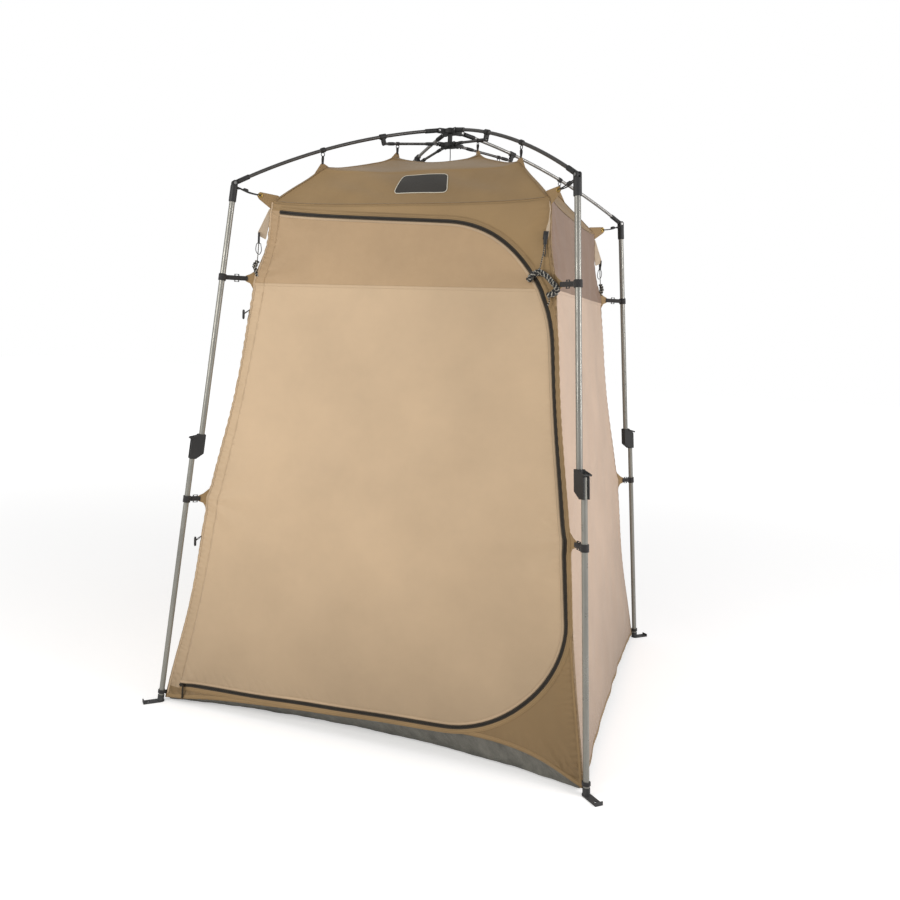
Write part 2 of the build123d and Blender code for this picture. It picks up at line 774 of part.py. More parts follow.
# ---------------------------------------------------------------- build and write
os.makedirs("parts", exist_ok=True)

corner_pieces = {
    "rib": make_rib,
    "rib_ends": make_rib_ends,
    "rib_bracket": make_rib_bracket,
    "strut": make_strut,
    "corner_cap": make_corner_cap,
    "corner_pin": make_corner_pin,
    "upper_leg": make_upper_leg,
    "slide_housing": make_slide_housing,
    "lock_lever": make_lock_lever,
    "leg_end_cap": make_leg_end_cap,
    "lower_leg": make_lower_leg,
    "foot": make_foot,
}
for piece_name, make in corner_pieces.items():
    save_at_corners(make(), piece_name)

single_pieces = {
    "upper_hub": make_upper_hub,
    "hub_pins": make_hub_pins,
    "lower_hub": make_lower_hub,
    "front_wall": make_front_wall,
    "door_panel": make_door_panel,
    "roof_bands": make_roof_bands,
    "floor_sheet": make_floor_sheet,
    "zipper_slider": make_zipper_slider,
    "zipper_pull": make_zipper_pull,
}
for piece_name, make in single_pieces.items():
    save(make(), piece_name)

plain_walls = {"right_wall": 90, "back_wall": 180, "left_wall": 270}
plain_wall = make_plain_wall()
for wall_name, turn in plain_walls.items():
    save(plain_wall.rotate(Axis.Z, turn), wall_name)
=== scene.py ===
"""Looks of a privacy shower tent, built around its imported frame. Metres, Z up, the door faces -Y."""

import json
import random
from math import asin, atan2, cos, hypot, pi, radians, sin, sqrt, tan

import bpy
import numpy as np
from mathutils import Matrix, Vector, kdtree
from mathutils.geometry import delaunay_2d_cdt


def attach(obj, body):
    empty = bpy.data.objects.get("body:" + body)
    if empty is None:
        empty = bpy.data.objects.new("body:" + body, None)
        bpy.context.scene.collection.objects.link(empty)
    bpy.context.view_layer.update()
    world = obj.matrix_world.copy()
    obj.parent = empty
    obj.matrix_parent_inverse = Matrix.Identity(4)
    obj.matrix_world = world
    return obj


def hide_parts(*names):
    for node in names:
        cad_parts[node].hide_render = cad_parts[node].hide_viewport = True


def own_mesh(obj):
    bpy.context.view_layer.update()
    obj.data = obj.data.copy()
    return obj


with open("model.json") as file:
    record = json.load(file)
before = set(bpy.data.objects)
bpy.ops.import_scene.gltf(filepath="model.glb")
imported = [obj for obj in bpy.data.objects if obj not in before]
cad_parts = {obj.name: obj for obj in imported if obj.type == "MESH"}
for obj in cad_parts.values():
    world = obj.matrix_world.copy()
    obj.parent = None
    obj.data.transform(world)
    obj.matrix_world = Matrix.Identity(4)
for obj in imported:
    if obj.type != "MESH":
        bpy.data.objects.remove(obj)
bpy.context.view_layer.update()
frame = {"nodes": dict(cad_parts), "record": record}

# ---------------------------------------------------------------- driving dimensions
BASE_HALF = 0.750  # half width of the fabric at the ground
EAVE_HALF = 0.503
EAVE_Z = 1.790
EAVE_LIFT = 0.016  # the corner cords pull the eave's corners up this far
BAND_MIDDLE = (0.353, 1.938)  # half width and height
BAND_TOP = (0.162, 2.008)
COLOUR_SEAM_Z = 1.516  # level seam, with a darker strip above it
FABRIC = 0.0006
WEB = 0.0018  # thickness of the straps
GATHER_PITCH = 0.034  # of the slanting gathers above the hem
STITCH_PITCH = 0.003
PUCKER_PITCH = 0.021  # of the fine puckers beside the corner seams

CORNER_R = 0.5975 * sqrt(2)
CORNER_Z = 1.860
FOOT_R = 0.760 * sqrt(2)
HUB_PIVOT_R = 0.050
HUB_PIVOT_Z = 2.140
LOWER_HUB_Z = 2.089
RIB_ARC_RADIUS = 2.560
RIB_R = 0.00635
STRUT_R = 0.005
UPPER_LEG_R = 0.010
LOWER_LEG_R = 0.0095
LEG_GAP = 0.0235

HIGH_STRAP_Z = 1.530
LOW_STRAP_Z = 0.738
HEM_Z = 0.012
HEM_MIDDLE_Z = 0.045
HEM_REST = ((-0.42, 0.050), (0.0, 0.076), (0.34, 0.098), (0.56, 0.082))

ZIP_BOTTOM_START = (-0.690, 0.068)
ZIP_BOTTOM_END = (0.300, 0.112)
ZIP_LOW_CURVE = ((0.500, 0.121), (0.677, 0.320))
ZIP_SIDE_START = (0.664, 0.480)
ZIP_SIDE_END = (0.549, 1.340)
ZIP_HIGH_CURVE = ((0.520, 1.540), (0.380, 1.722))
ZIP_TOP_START = (0.170, 1.733)
ZIP_TOP_END = (-0.463, 1.762)
TAPE_WIDTH = 0.0062
TOOTH_PITCH = 0.004
ZIP_HALF_GAP = 0.0015

# ---------------------------------------------------------------- worked out
CORNERS = {"front_left": 225, "front_right": 315, "back_right": 45, "back_left": 135}
WALLS = ["front", "right", "back", "left"]  # each a quarter turn on from the last
WALL_CORNER = ["front_left", "front_right", "back_right", "back_left"]  # a wall's own left seam
WALL_SLOPE = (BASE_HALF - EAVE_HALF) / EAVE_Z
LEAN = atan2(FOOT_R - CORNER_R, CORNER_Z) - asin(
    LEG_GAP / hypot(FOOT_R - CORNER_R, CORNER_Z)
)
ANCHORS = (HEM_Z, LOW_STRAP_Z, HIGH_STRAP_Z, EAVE_Z)


def half_width(z):
    """Half width of the enclosure at a height."""
    return BASE_HALF - WALL_SLOPE * z


def quarter_turn(points, side):
    """Points of the front, turned to another side."""
    turn = np.array(Matrix.Rotation(side * pi / 2, 3, "Z"))
    return np.asarray(points, float) @ turn.T


def at_corner(corner, r, z, across=0.0):
    """Point at a corner: a distance from the centre line, a height, and a step to one side."""
    turn = radians(CORNERS[corner])
    return Vector(
        (r * cos(turn) - across * sin(turn), r * sin(turn) + across * cos(turn), z)
    )


def leg_r(z):
    """Distance of the upper leg's line from the centre line, at a height."""
    return CORNER_R + (CORNER_Z - z) * tan(LEAN)


def rib_height(r):
    """Height of a rib's centre line."""
    chord = hypot(CORNER_R - HUB_PIVOT_R, HUB_PIVOT_Z - CORNER_Z)
    drop = atan2(HUB_PIVOT_Z - CORNER_Z, CORNER_R - HUB_PIVOT_R)
    rise = RIB_ARC_RADIUS * cos(asin(chord / 2 / RIB_ARC_RADIUS))
    centre_r = (HUB_PIVOT_R + CORNER_R) / 2 - rise * sin(drop)
    centre_z = (HUB_PIVOT_Z + CORNER_Z) / 2 - rise * cos(drop)
    return centre_z + sqrt(RIB_ARC_RADIUS**2 - (r - centre_r) ** 2)


def smooth(points, per_span=8):
    """Points of a smooth curve through a few points."""
    p = np.array([list(v) for v in points], float)
    p = np.vstack([2 * p[0] - p[1], p, 2 * p[-1] - p[-2]])
    out = []
    for i in range(1, len(p) - 2):
        for t in np.arange(per_span) / per_span:
            out.append(
                0.5
                * (
                    2 * p[i]
                    + (p[i + 1] - p[i - 1]) * t
                    + (2 * p[i - 1] - 5 * p[i] + 4 * p[i + 1] - p[i + 2]) * t * t
                    + (3 * p[i] - 3 * p[i + 1] + p[i + 2] - p[i - 1]) * t**3
                )
            )
    out.append(p[-2])
    return np.array(out)


def even_steps(points, step):
    """The same line, with points a fixed step apart."""
    points = np.asarray(points, float)
    run = np.r_[0, np.cumsum(np.linalg.norm(np.diff(points, axis=0), axis=1))]
    wanted = np.linspace(0, run[-1], max(2, int(round(run[-1] / step)) + 1))
    return np.stack(
        [np.interp(wanted, run, points[:, k]) for k in range(points.shape[1])], axis=1
    )


# ---------------------------------------------------------------- materials
def paint(red, green, blue):
    """Linear colour from a screen colour of 0 to 255."""
    return tuple(
        ((c / 255 + 0.055) / 1.055) ** 2.4 if c > 10 else c / 255 / 12.92
        for c in (red, green, blue)
    ) + (1.0,)


class Finish:
    """A principled material, with short calls for the nodes that feed it."""

    def __init__(self, name, roughness=0.5, metallic=0.0, sheen=0.0):
        self.material = bpy.data.materials.new(name)
        self.material.use_nodes = True
        self.tree = self.material.node_tree
        self.surface = self.tree.nodes["Principled BSDF"]
        self.surface.inputs["Roughness"].default_value = roughness
        self.surface.inputs["Metallic"].default_value = metallic
        self.surface.inputs["Sheen Weight"].default_value = sheen
        self.normal = None

    def node(self, kind, inputs=(), **settings):
        made = self.tree.nodes.new(kind)
        for key, value in settings.items():
            setattr(made, key, value)
        for key, value in dict(inputs).items():
            if isinstance(value, bpy.types.NodeSocket):
                self.tree.links.new(value, made.inputs[key])
            else:
                made.inputs[key].default_value = value
        return made

    def place(self, kind="Object"):
        return self.node("ShaderNodeTexCoord").outputs[kind]

    def part(self, vector, axis):
        return self.node("ShaderNodeSeparateXYZ", {0: vector}).outputs[axis]

    def math(self, operation, *values):
        return self.node(
            "ShaderNodeMath", dict(enumerate(values)), operation=operation
        ).outputs[0]

    def noise(self, scale, vector, detail=3.0, roughness=0.55):
        inputs = {
            "Vector": vector,
            "Scale": scale,
            "Detail": detail,
            "Roughness": roughness,
        }
        return self.node("ShaderNodeTexNoise", inputs).outputs[0]

    def wave(self, period, vector, direction):
        # a wave texture of scale 1 repeats every 2 pi / 20
        inputs = {"Vector": vector, "Scale": 2 * pi / 20 / period}
        return self.node(
            "ShaderNodeTexWave", inputs, bands_direction=direction
        ).outputs["Fac"]

    def between(self, value, low, high):
        inputs = {"Value": value, "From Min": low, "From Max": high}
        return self.node("ShaderNodeMapRange", inputs).outputs[0]

    def mix(self, share, first, second):
        made = self.node("ShaderNodeMix", data_type="RGBA")
        for index, value in ((0, share), (6, first), (7, second)):
            if isinstance(value, bpy.types.NodeSocket):
                self.tree.links.new(value, made.inputs[index])
            else:
                made.inputs[index].default_value = value
        return made.outputs[2]

    def colour(self, value):
        if isinstance(value, bpy.types.NodeSocket):
            self.tree.links.new(value, self.surface.inputs["Base Color"])
        else:
            self.surface.inputs["Base Color"].default_value = value

    def roughness(self, value):
        self.tree.links.new(value, self.surface.inputs["Roughness"])

    def bump(self, height, distance, strength=1.0):
        inputs = {"Height": height, "Distance": distance, "Strength": strength}
        if self.normal is not None:
            inputs["Normal"] = self.normal
        self.normal = self.node("ShaderNodeBump", inputs).outputs[0]
        self.tree.links.new(self.normal, self.surface.inputs["Normal"])


def shade(colour, factor):
    """A colour made lighter or darker."""
    return tuple(min(1.0, c * factor) for c in colour[:3]) + (1.0,)


def weave(finish, spot, period=0.0011):
    """Plain weave, as bump only: threads over and under."""
    warp, weft = finish.wave(period, spot, "X"), finish.wave(period, spot, "Y")
    finish.bump(finish.math("MAXIMUM", warp, weft), 0.00012, 0.5)


def below_seam(finish, above, low, high, clouds, mottle):
    """Colour of a cloth that changes at the level seam, with faint clouds in it."""
    base = finish.mix(above, low, high)
    dim = finish.mix(above, shade(low, 1 - 2 * mottle), shade(high, 1 - 2 * mottle))
    return finish.mix(finish.between(clouds, 0.35, 0.65), dim, base)


def wall_cloth(name, low, high, mottle=0.10, left_of_door=None):
    """Coated woven cloth of the walls, darker above the level seam. UVs are level and height."""
    finish = Finish(name, 0.62, sheen=0.15)
    spot = finish.place("UV")
    x, z = finish.part(spot, 0), finish.part(spot, 1)
    clouds = finish.noise(2.6, spot, 4)
    specks = finish.noise(34.0, spot, 2)
    above = finish.between(z, COLOUR_SEAM_Z - 0.001, COLOUR_SEAM_Z + 0.001)
    tone = below_seam(finish, above, low, high, clouds, mottle)
    if left_of_door:
        # the strip between the left seam and the door's uncut edge is of the door's cloth
        lean = (ZIP_TOP_END[0] - ZIP_BOTTOM_START[0]) / (ZIP_TOP_END[1] - ZIP_BOTTOM_START[1])
        start = ZIP_BOTTOM_START[0] - lean * ZIP_BOTTOM_START[1]
        edge = finish.math("MULTIPLY_ADD", z, lean, start)
        beside = finish.math("LESS_THAN", x, finish.math("ADD", edge, 0.004))
        over_bottom = finish.math("GREATER_THAN", z, ZIP_BOTTOM_START[1] - 0.012)
        beside = finish.math("MULTIPLY", beside, over_bottom)
        under_top = finish.math("LESS_THAN", z, ZIP_TOP_END[1] + 0.004)
        beside = finish.math("MULTIPLY", beside, under_top)
        strip_tone = below_seam(finish, above, *left_of_door, clouds, mottle)
        tone = finish.mix(beside, tone, strip_tone)
    tone = finish.mix(
        finish.math("MULTIPLY", specks, 0.10), tone, shade(low, 1.25)
    )
    # painted shade: the cloth is darkened towards the ground
    ground_shade_share = finish.math("MULTIPLY", finish.between(z, 0.62, 0.02), 0.34)
    finish.colour(finish.mix(ground_shade_share, tone, (0.0, 0.0, 0.0, 1.0)))
    weave(finish, spot)
    # slanting gathers just above the hem
    near_hem = finish.between(z, 0.15, 0.05)
    slope = finish.math("MULTIPLY_ADD", z, 0.8, x)
    wander = finish.noise(9.0, spot, 2)
    rows = finish.math("MULTIPLY", slope, 2 * pi / GATHER_PITCH)
    gather = finish.math("MULTIPLY_ADD", wander, 14.0, rows)
    finish.bump(finish.math("MULTIPLY", finish.math("SINE", gather), near_hem), 0.0026, 0.7)
    # soft crumple, coarse and fine
    finish.bump(finish.noise(9.0, spot, 5, 0.6), 0.006, 0.30)
    finish.bump(finish.noise(60.0, spot, 3), 0.0008, 0.25)
    # puckers that fade away from the corner seams
    half = finish.math("SUBTRACT", BASE_HALF, finish.math("MULTIPLY", z, WALL_SLOPE))
    inset = finish.math("SUBTRACT", half, finish.math("ABSOLUTE", x))
    fade = finish.math("EXPONENT", finish.math("MULTIPLY", inset, -1 / 0.022))
    drift = finish.math("MULTIPLY", finish.noise(14.0, spot, 1), 9.0)
    slant = finish.math("MULTIPLY", inset, 70.0)
    phase = finish.math("ADD", finish.math("MULTIPLY", z, 2 * pi / PUCKER_PITCH), drift)
    ripple = finish.math("SINE", finish.math("ADD", phase, slant))
    finish.bump(finish.math("MULTIPLY", ripple, fade), 0.0022, 0.8)
    # the level seam: a felled ridge with its two stitch lines
    off = finish.math("ABSOLUTE", finish.math("SUBTRACT", z, COLOUR_SEAM_Z - 0.005))
    ridge = finish.between(off, 0.0065, 0.0050)
    stitch = finish.between(
        finish.math("ABSOLUTE", finish.math("SUBTRACT", off, 0.0035)), 0.0009, 0.0003
    )
    dashes = finish.math(
        "GREATER_THAN", finish.math("SINE", finish.math("MULTIPLY", x, 2 * pi / STITCH_PITCH)), -0.4
    )
    pits = finish.math("MULTIPLY", finish.math("MULTIPLY", stitch, dashes), 0.6)
    finish.bump(finish.math("SUBTRACT", ridge, pits), 0.0009, 0.9)
    return finish.material


def plain_cloth(name, colour, stitched=False):
    """Cloth of the bands, tabs and plackets. UVs are along and across, in metres."""
    finish = Finish(name, 0.66, sheen=0.15)
    spot = finish.place("UV")
    clouds = finish.noise(3.2, spot, 4)
    tone = finish.mix(
        finish.between(clouds, 0.35, 0.65), shade(colour, 0.84), shade(colour, 1.05)
    )
    weave(finish, spot)
    finish.bump(finish.noise(16.0, spot, 4, 0.6), 0.004, 0.35)
    finish.bump(finish.noise(70.0, spot, 2), 0.0008, 0.25)
    if stitched:
        along, across = finish.part(spot, 0), finish.part(spot, 1)
        off_middle = finish.math("SUBTRACT", finish.math("ABSOLUTE", across), 0.0028)
        off = finish.math("ABSOLUTE", off_middle)
        line = finish.between(off, 0.0009, 0.0003)
        dash = finish.math(
            "GREATER_THAN",
            finish.math("SINE", finish.math("MULTIPLY", along, 2 * pi / STITCH_PITCH)),
            -0.4,
        )
        stitches = finish.math("MULTIPLY", line, dash)
        tone = finish.mix(finish.math("MULTIPLY", stitches, 0.5), tone, shade(colour, 0.45))
        finish.bump(stitches, 0.0005, 0.8)
    finish.colour(tone)
    return finish.material


def tube_metal(name, colour, roughness, metallic, streak=0.25):
    """Painted or drawn tube, with faint streaks and worn spots."""
    finish = Finish(name, roughness, metallic)
    spot = finish.place()
    stretched = finish.node(
        "ShaderNodeMapping", {"Vector": spot, "Scale": (60.0, 60.0, 3.0)}
    ).outputs[0]
    streaks = finish.noise(1.0, stretched, 4)
    finish.colour(
        finish.mix(
            finish.between(streaks, 0.3, 0.7), shade(colour, 1 - streak), shade(colour, 1 + streak)
        )
    )
    grime = finish.noise(25.0, spot, 4)
    finish.roughness(finish.between(grime, 0.0, 1.0 / (roughness + 0.25)))
    finish.bump(finish.noise(420.0, spot, 2), 0.00003, 0.25)
    return finish.material


def moulded(name, colour, roughness=0.45):
    """Moulded plastic with a fine spark texture and rubbed, paler patches."""
    finish = Finish(name, roughness)
    spot = finish.place()
    rub = finish.between(finish.noise(30.0, spot, 5, 0.65), 0.45, 0.75)
    finish.colour(finish.mix(rub, colour, shade(colour, 1.7)))
    finish.roughness(finish.between(rub, -2.2, 2.0))
    finish.bump(finish.noise(1600.0, spot, 2), 0.00012, 0.35)
    return finish.material


def cord_stuff(name, first, second, period):
    """Braided cord with a tracer that spots it along its length. UVs are along and around."""
    finish = Finish(name, 0.75, sheen=0.2)
    spot = finish.place("UV")
    along, around = finish.part(spot, 0), finish.part(spot, 1)
    run = finish.math("MULTIPLY", along, 2 * pi / period)
    turn = finish.math("MULTIPLY", around, 2 * pi)
    stripe = finish.math("SINE", finish.math("ADD", run, turn))
    finish.colour(finish.mix(finish.between(stripe, 0.45, 0.80), first, second))
    braid = finish.wave(0.0016, spot, "DIAGONAL")
    finish.bump(braid, 0.0002, 0.8)
    return finish.material


def webbing(name, colour):
    """Woven strap: fine ribs across it. UVs are along and across."""
    finish = Finish(name, 0.7, sheen=0.2)
    spot = finish.place("UV")
    ribs = finish.wave(0.0016, spot, "X")
    wales = finish.wave(0.0030, spot, "Y")
    finish.colour(finish.mix(finish.math("MULTIPLY", ribs, 0.5), colour, shade(colour, 1.8)))
    finish.bump(finish.math("ADD", ribs, wales), 0.0002, 0.7)
    return finish.material


def crinkled_sheet(name, colour):
    """Coated floor sheet: woven tape under a film, creased and a little glossy."""
    finish = Finish(name, 0.38)
    spot = finish.place("UV")
    crease_relief_and_light = finish.noise(22.0, spot, 6, 0.7)
    # the crease pattern also paints the sheet lighter and darker: painted highlights and painted shade on the
    # creases
    finish.colour(
        finish.mix(finish.between(crease_relief_and_light, 0.35, 0.7), shade(colour, 0.7), shade(colour, 1.35))
    )
    finish.bump(crease_relief_and_light, 0.010, 0.8)
    finish.bump(finish.wave(0.003, spot, "DIAGONAL"), 0.0002, 0.4)
    return finish.material


def plain_metal(name, colour, roughness=0.3):
    """Small bare metal fitting."""
    finish = Finish(name, roughness, 1.0)
    spot = finish.place()
    finish.colour(
        finish.mix(finish.noise(120.0, spot, 3), shade(colour, 0.75), shade(colour, 1.2))
    )
    finish.bump(finish.noise(700.0, spot, 2), 0.0001, 0.3)
    return finish.material


OLIVE = paint(164, 134, 91)
BEIGE = paint(211, 183, 148)
BEIGE_HIGH = paint(189, 158, 120)
# upper colour of the side walls: darker cloth above the level seam, with painted shade in it
SIDE_HIGH_SHADED = paint(140, 111, 91)
ROSE = paint(214, 187, 163)

front_cloth = wall_cloth("front_cloth", OLIVE, OLIVE, 0.07, left_of_door=(BEIGE, BEIGE_HIGH))
door_cloth = wall_cloth("door_cloth", BEIGE, BEIGE_HIGH, 0.06)
side_cloth = wall_cloth("side_cloth", ROSE, SIDE_HIGH_SHADED, 0.07)
band_cloth = plain_cloth("band_cloth", OLIVE)
trim_cloth = plain_cloth("trim_cloth", shade(OLIVE, 0.92), stitched=True)
door_trim_cloth = plain_cloth("door_trim_cloth", shade(BEIGE, 0.88), stitched=True)
inner_cloth = plain_cloth("inner_cloth", paint(84, 66, 50))
floor_film = crinkled_sheet("floor_film", paint(118, 116, 108))
leg_metal = tube_metal("leg_metal", paint(150, 149, 142), 0.46, 0.45, 0.12)
rib_metal = tube_metal("rib_metal", paint(84, 82, 80), 0.38, 0.45, 0.12)
# lighter copy of the rib metal for the back ribs: painted light on the same tubes
back_rib_metal_painted_light = tube_metal("back_rib_metal_painted_light", paint(150, 149, 146), 0.38, 0.45, 0.12)
black_plastic = moulded("black_plastic", paint(40, 40, 40))
foot_paint = moulded("foot_paint", paint(58, 58, 58), 0.5)
rivet_metal = plain_metal("rivet_metal", paint(170, 170, 168))
brass = plain_metal("brass", paint(204, 172, 96), 0.25)
zip_tape = webbing("zip_tape", paint(58, 48, 34))
zip_teeth = moulded("zip_teeth", paint(44, 40, 34), 0.35)
zip_metal = plain_metal("zip_metal", paint(70, 64, 56), 0.35)
black_webbing = webbing("black_webbing", paint(34, 32, 32))
black_cord = cord_stuff("black_cord", paint(26, 26, 26), paint(60, 60, 60), 0.006)
spotted_cord = cord_stuff("spotted_cord", paint(28, 28, 28), paint(176, 172, 160), 0.0075)
label_cloth = plain_cloth("label_cloth", paint(52, 48, 42))
label_edge = webbing("label_edge", paint(206, 198, 182))
flap_cloth = plain_cloth("flap_cloth", paint(206, 186, 160))


# ---------------------------------------------------------------- mesh making
def ring(radius, sides=10):
    """Round section."""
    turns = np.arange(sides) * 2 * pi / sides
    return np.stack([np.cos(turns), np.sin(turns)], axis=1) * radius


def strip(width, thickness):
    """Flat section with eased corners; its first direction is across the strip."""
    w, t = width / 2, thickness / 2
    e = min(t * 0.6, w * 0.3)
    return np.array(
        [(w - e, -t), (w, -t + e), (w, t - e), (w - e, t),
         (e - w, t), (-w, t - e), (-w, e - t), (e - w, -t)]
    )


class Shape:
    """Gathers surfaces into one mesh."""

    def __init__(self):
        self.points, self.faces, self.uvs, self.slots = [], [], [], []

    def add(self, points, faces, uvs, slot=0):
        start = len(self.points)
        self.points.extend(map(tuple, points))
        self.uvs.extend(map(tuple, uvs))
        self.faces.extend(tuple(i + start for i in f) for f in faces)
        self.slots.extend([slot] * len(faces))

    def sweep(self, path, section, across=None, slot=0, closed=False, scale=None):
        """A section carried along a path; across fixes the way its first direction faces."""
        path = np.array([list(p) for p in path], float)
        n, m = len(path), len(section)
        if closed:
            ahead, behind = np.roll(path, -1, 0), np.roll(path, 1, 0)
        else:
            ahead = np.vstack([path[1:], path[-1:]])
            behind = np.vstack([path[:1], path[:-1]])
        along = ahead - behind
        along /= np.linalg.norm(along, axis=1)[:, None] + 1e-12
        if across is None:
            seed = np.eye(3)[int(np.argmin(np.abs(along[0])))]
            first = np.cross(along[0], seed)
            sides = []
            for t in along:
                first = first - t * (first @ t)
                first /= np.linalg.norm(first) + 1e-12
                sides.append(first.copy())
            sides = np.array(sides)
        else:
            sides = np.broadcast_to(np.array(across, float), path.shape).copy()
            sides -= along * np.sum(sides * along, axis=1)[:, None]
            sides /= np.linalg.norm(sides, axis=1)[:, None] + 1e-12
        fronts = np.cross(along, sides)
        size = np.ones(n) if scale is None else np.asarray(scale, float)
        shape = np.asarray(section)
        points = (
            path[:, None, :]
            + sides[:, None, :] * (shape[None, :, 0:1] * size[:, None, None])
            + fronts[:, None, :] * (shape[None, :, 1:2] * size[:, None, None])
        ).reshape(-1, 3)
        run = np.r_[0, np.cumsum(np.linalg.norm(np.diff(path, axis=0), axis=1))]
        uvs = np.stack(
            [np.repeat(run, m), np.tile(shape[:, 0], n)], axis=1
        )
        faces = []
        for i in range(n if closed else n - 1):
            a, b = i * m, ((i + 1) % n) * m
            faces += [(a + j, a + (j + 1) % m, b + (j + 1) % m, b + j) for j in range(m)]
        if not closed:
            faces.append(tuple(reversed(range(m))))
            faces.append(tuple(range((n - 1) * m, n * m)))
        self.add(points, faces, uvs, slot)

    def make(self, name, materials, body, slot, smooth=True):
        """The mesh as an object that rides on a body."""
        mesh = bpy.data.meshes.new(name)
        mesh.from_pydata(self.points, [], self.faces)
        layer = mesh.uv_layers.new(name="UVMap")
        corner_points = np.empty(len(mesh.loops), int)
        mesh.loops.foreach_get("vertex_index", corner_points)
        layer.data.foreach_set("uv", np.array(self.uvs, float)[corner_points].ravel())
        mesh.polygons.foreach_set("material_index", self.slots)
        mesh.polygons.foreach_set("use_smooth", [smooth] * len(mesh.polygons))
        for material in materials:
            mesh.materials.append(material)
        if smooth:
            mesh.set_sharp_from_angle(angle=radians(50))
        made = bpy.data.objects.new(name, mesh)
        bpy.context.scene.collection.objects.link(made)
        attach(made, body)
        return made


def grid_faces(columns, rows):
    """Faces of a grid of points that run row by row."""
    faces = []
    for row in range(rows - 1):
        for column in range(columns - 1):
            a = row * columns + column
            faces.append((a, a + 1, a + 1 + columns, a + columns))
    return faces


def inside(points, loop):
    """Which 2-D points lie inside a closed loop."""
    x, y = points[:, 0], points[:, 1]
    found = np.zeros(len(points), bool)
    for (x0, y0), (x1, y1) in zip(loop, np.roll(loop, -1, axis=0)):
        if y0 == y1:
            continue
        crosses = (y0 > y) != (y1 > y)
        found ^= crosses & (x < (x1 - x0) * (y - y0) / (y1 - y0) + x0)
    return found


def fill(outer, hole=None, coarse=0.014, near=0.03):
    """Triangles of a flat sheet, finer near its edges: 2-D points and faces."""
    loops = [outer] if hole is None else [outer, hole]
    border = np.vstack(loops)
    tree = kdtree.KDTree(len(border))
    for i, (x, y) in enumerate(border):
        tree.insert((x, y, 0), i)
    tree.balance()
    low, high = outer.min(0), outer.max(0)
    fine = coarse / 2
    columns = int((high[0] - low[0]) / fine)
    rows = int((high[1] - low[1]) / fine)
    gx, gy = np.meshgrid(np.arange(1, columns), np.arange(1, rows), indexing="ij")
    index = np.stack([gx.ravel(), gy.ravel()], axis=1)
    grid = low + index * fine
    keep = inside(grid, outer)
    if hole is not None:
        keep &= ~inside(grid, hole)
    grid, index = grid[keep], index[keep]
    gaps = np.array([tree.find((x, y, 0))[2] for x, y in grid])
    on_coarse = (index % 2 == 0).all(axis=1)
    grid = grid[(gaps > fine * 0.6) & ((gaps < near) | on_coarse)]
    edges, start = [], 0
    for loop in loops:
        n = len(loop)
        edges += [(start + i, start + (i + 1) % n) for i in range(n)]
        start += n
    points = [Vector(p) for p in np.vstack([border, grid])]
    found, _, faces, _, _, _ = delaunay_2d_cdt(points, edges, [], 0, 1e-7)
    found = np.array([list(p) for p in found])
    faces = np.array([list(f) for f in faces])
    middles = found[faces].mean(axis=1)
    keep = inside(middles, outer)
    if hole is not None:
        keep &= ~inside(middles, hole)
    faces = faces[keep]
    a, b, c = (found[faces[:, k]] for k in range(3))
    area = (b[:, 0] - a[:, 0]) * (c[:, 1] - a[:, 1]) - (b[:, 1] - a[:, 1]) * (c[:, 0] - a[:, 0])
    faces[area < 0] = faces[area < 0][:, ::-1]
    return found, faces[np.abs(area) > 1e-12]


def add_thickness(sheet, thickness=FABRIC):
    """Gives a sheet its thickness, inwards; its back takes the second material."""
    solid = sheet.modifiers.new("thickness", "SOLIDIFY")
    solid.thickness = thickness
    solid.offset = -1
    solid.material_offset = 1
    return sheet


# ---------------------------------------------------------------- how the cloth hangs
def waves(seed, count, shortest, longest):
    """A few fixed random ripples, as wave numbers, directions and phases."""
    pick = random.Random(seed)
    made = []
    for _ in range(count):
        length = pick.uniform(shortest, longest)
        turn = pick.uniform(0, pi)
        number = 2 * pi / length
        made.append((number * cos(turn), number * sin(turn), pick.uniform(0, 2 * pi)))
    return made


WALL_WAVES = [waves(10 + side, 7, 0.16, 0.62) for side in range(4)]
BAND_WAVES = [waves(20 + side, 5, 0.10, 0.30) for side in range(4)]
SEAM_BOW = 0.010
TAB_PULL = 0.006
PUCKER = 0.0011
PUCKER_LENGTH = 0.031


def seam_shift(z):
    """How far a corner seam sits inside its straight line: bowed in between its anchors."""
    shift = np.zeros_like(z)
    for low, high in zip(ANCHORS, ANCHORS[1:]):
        share = np.clip((z - low) / (high - low), 0, 1)
        shift += SEAM_BOW * np.sin(pi * share) ** 2
    for anchor in ANCHORS[1:3]:
        shift -= TAB_PULL * np.exp(-(((z - anchor) / 0.03) ** 2))
    return shift


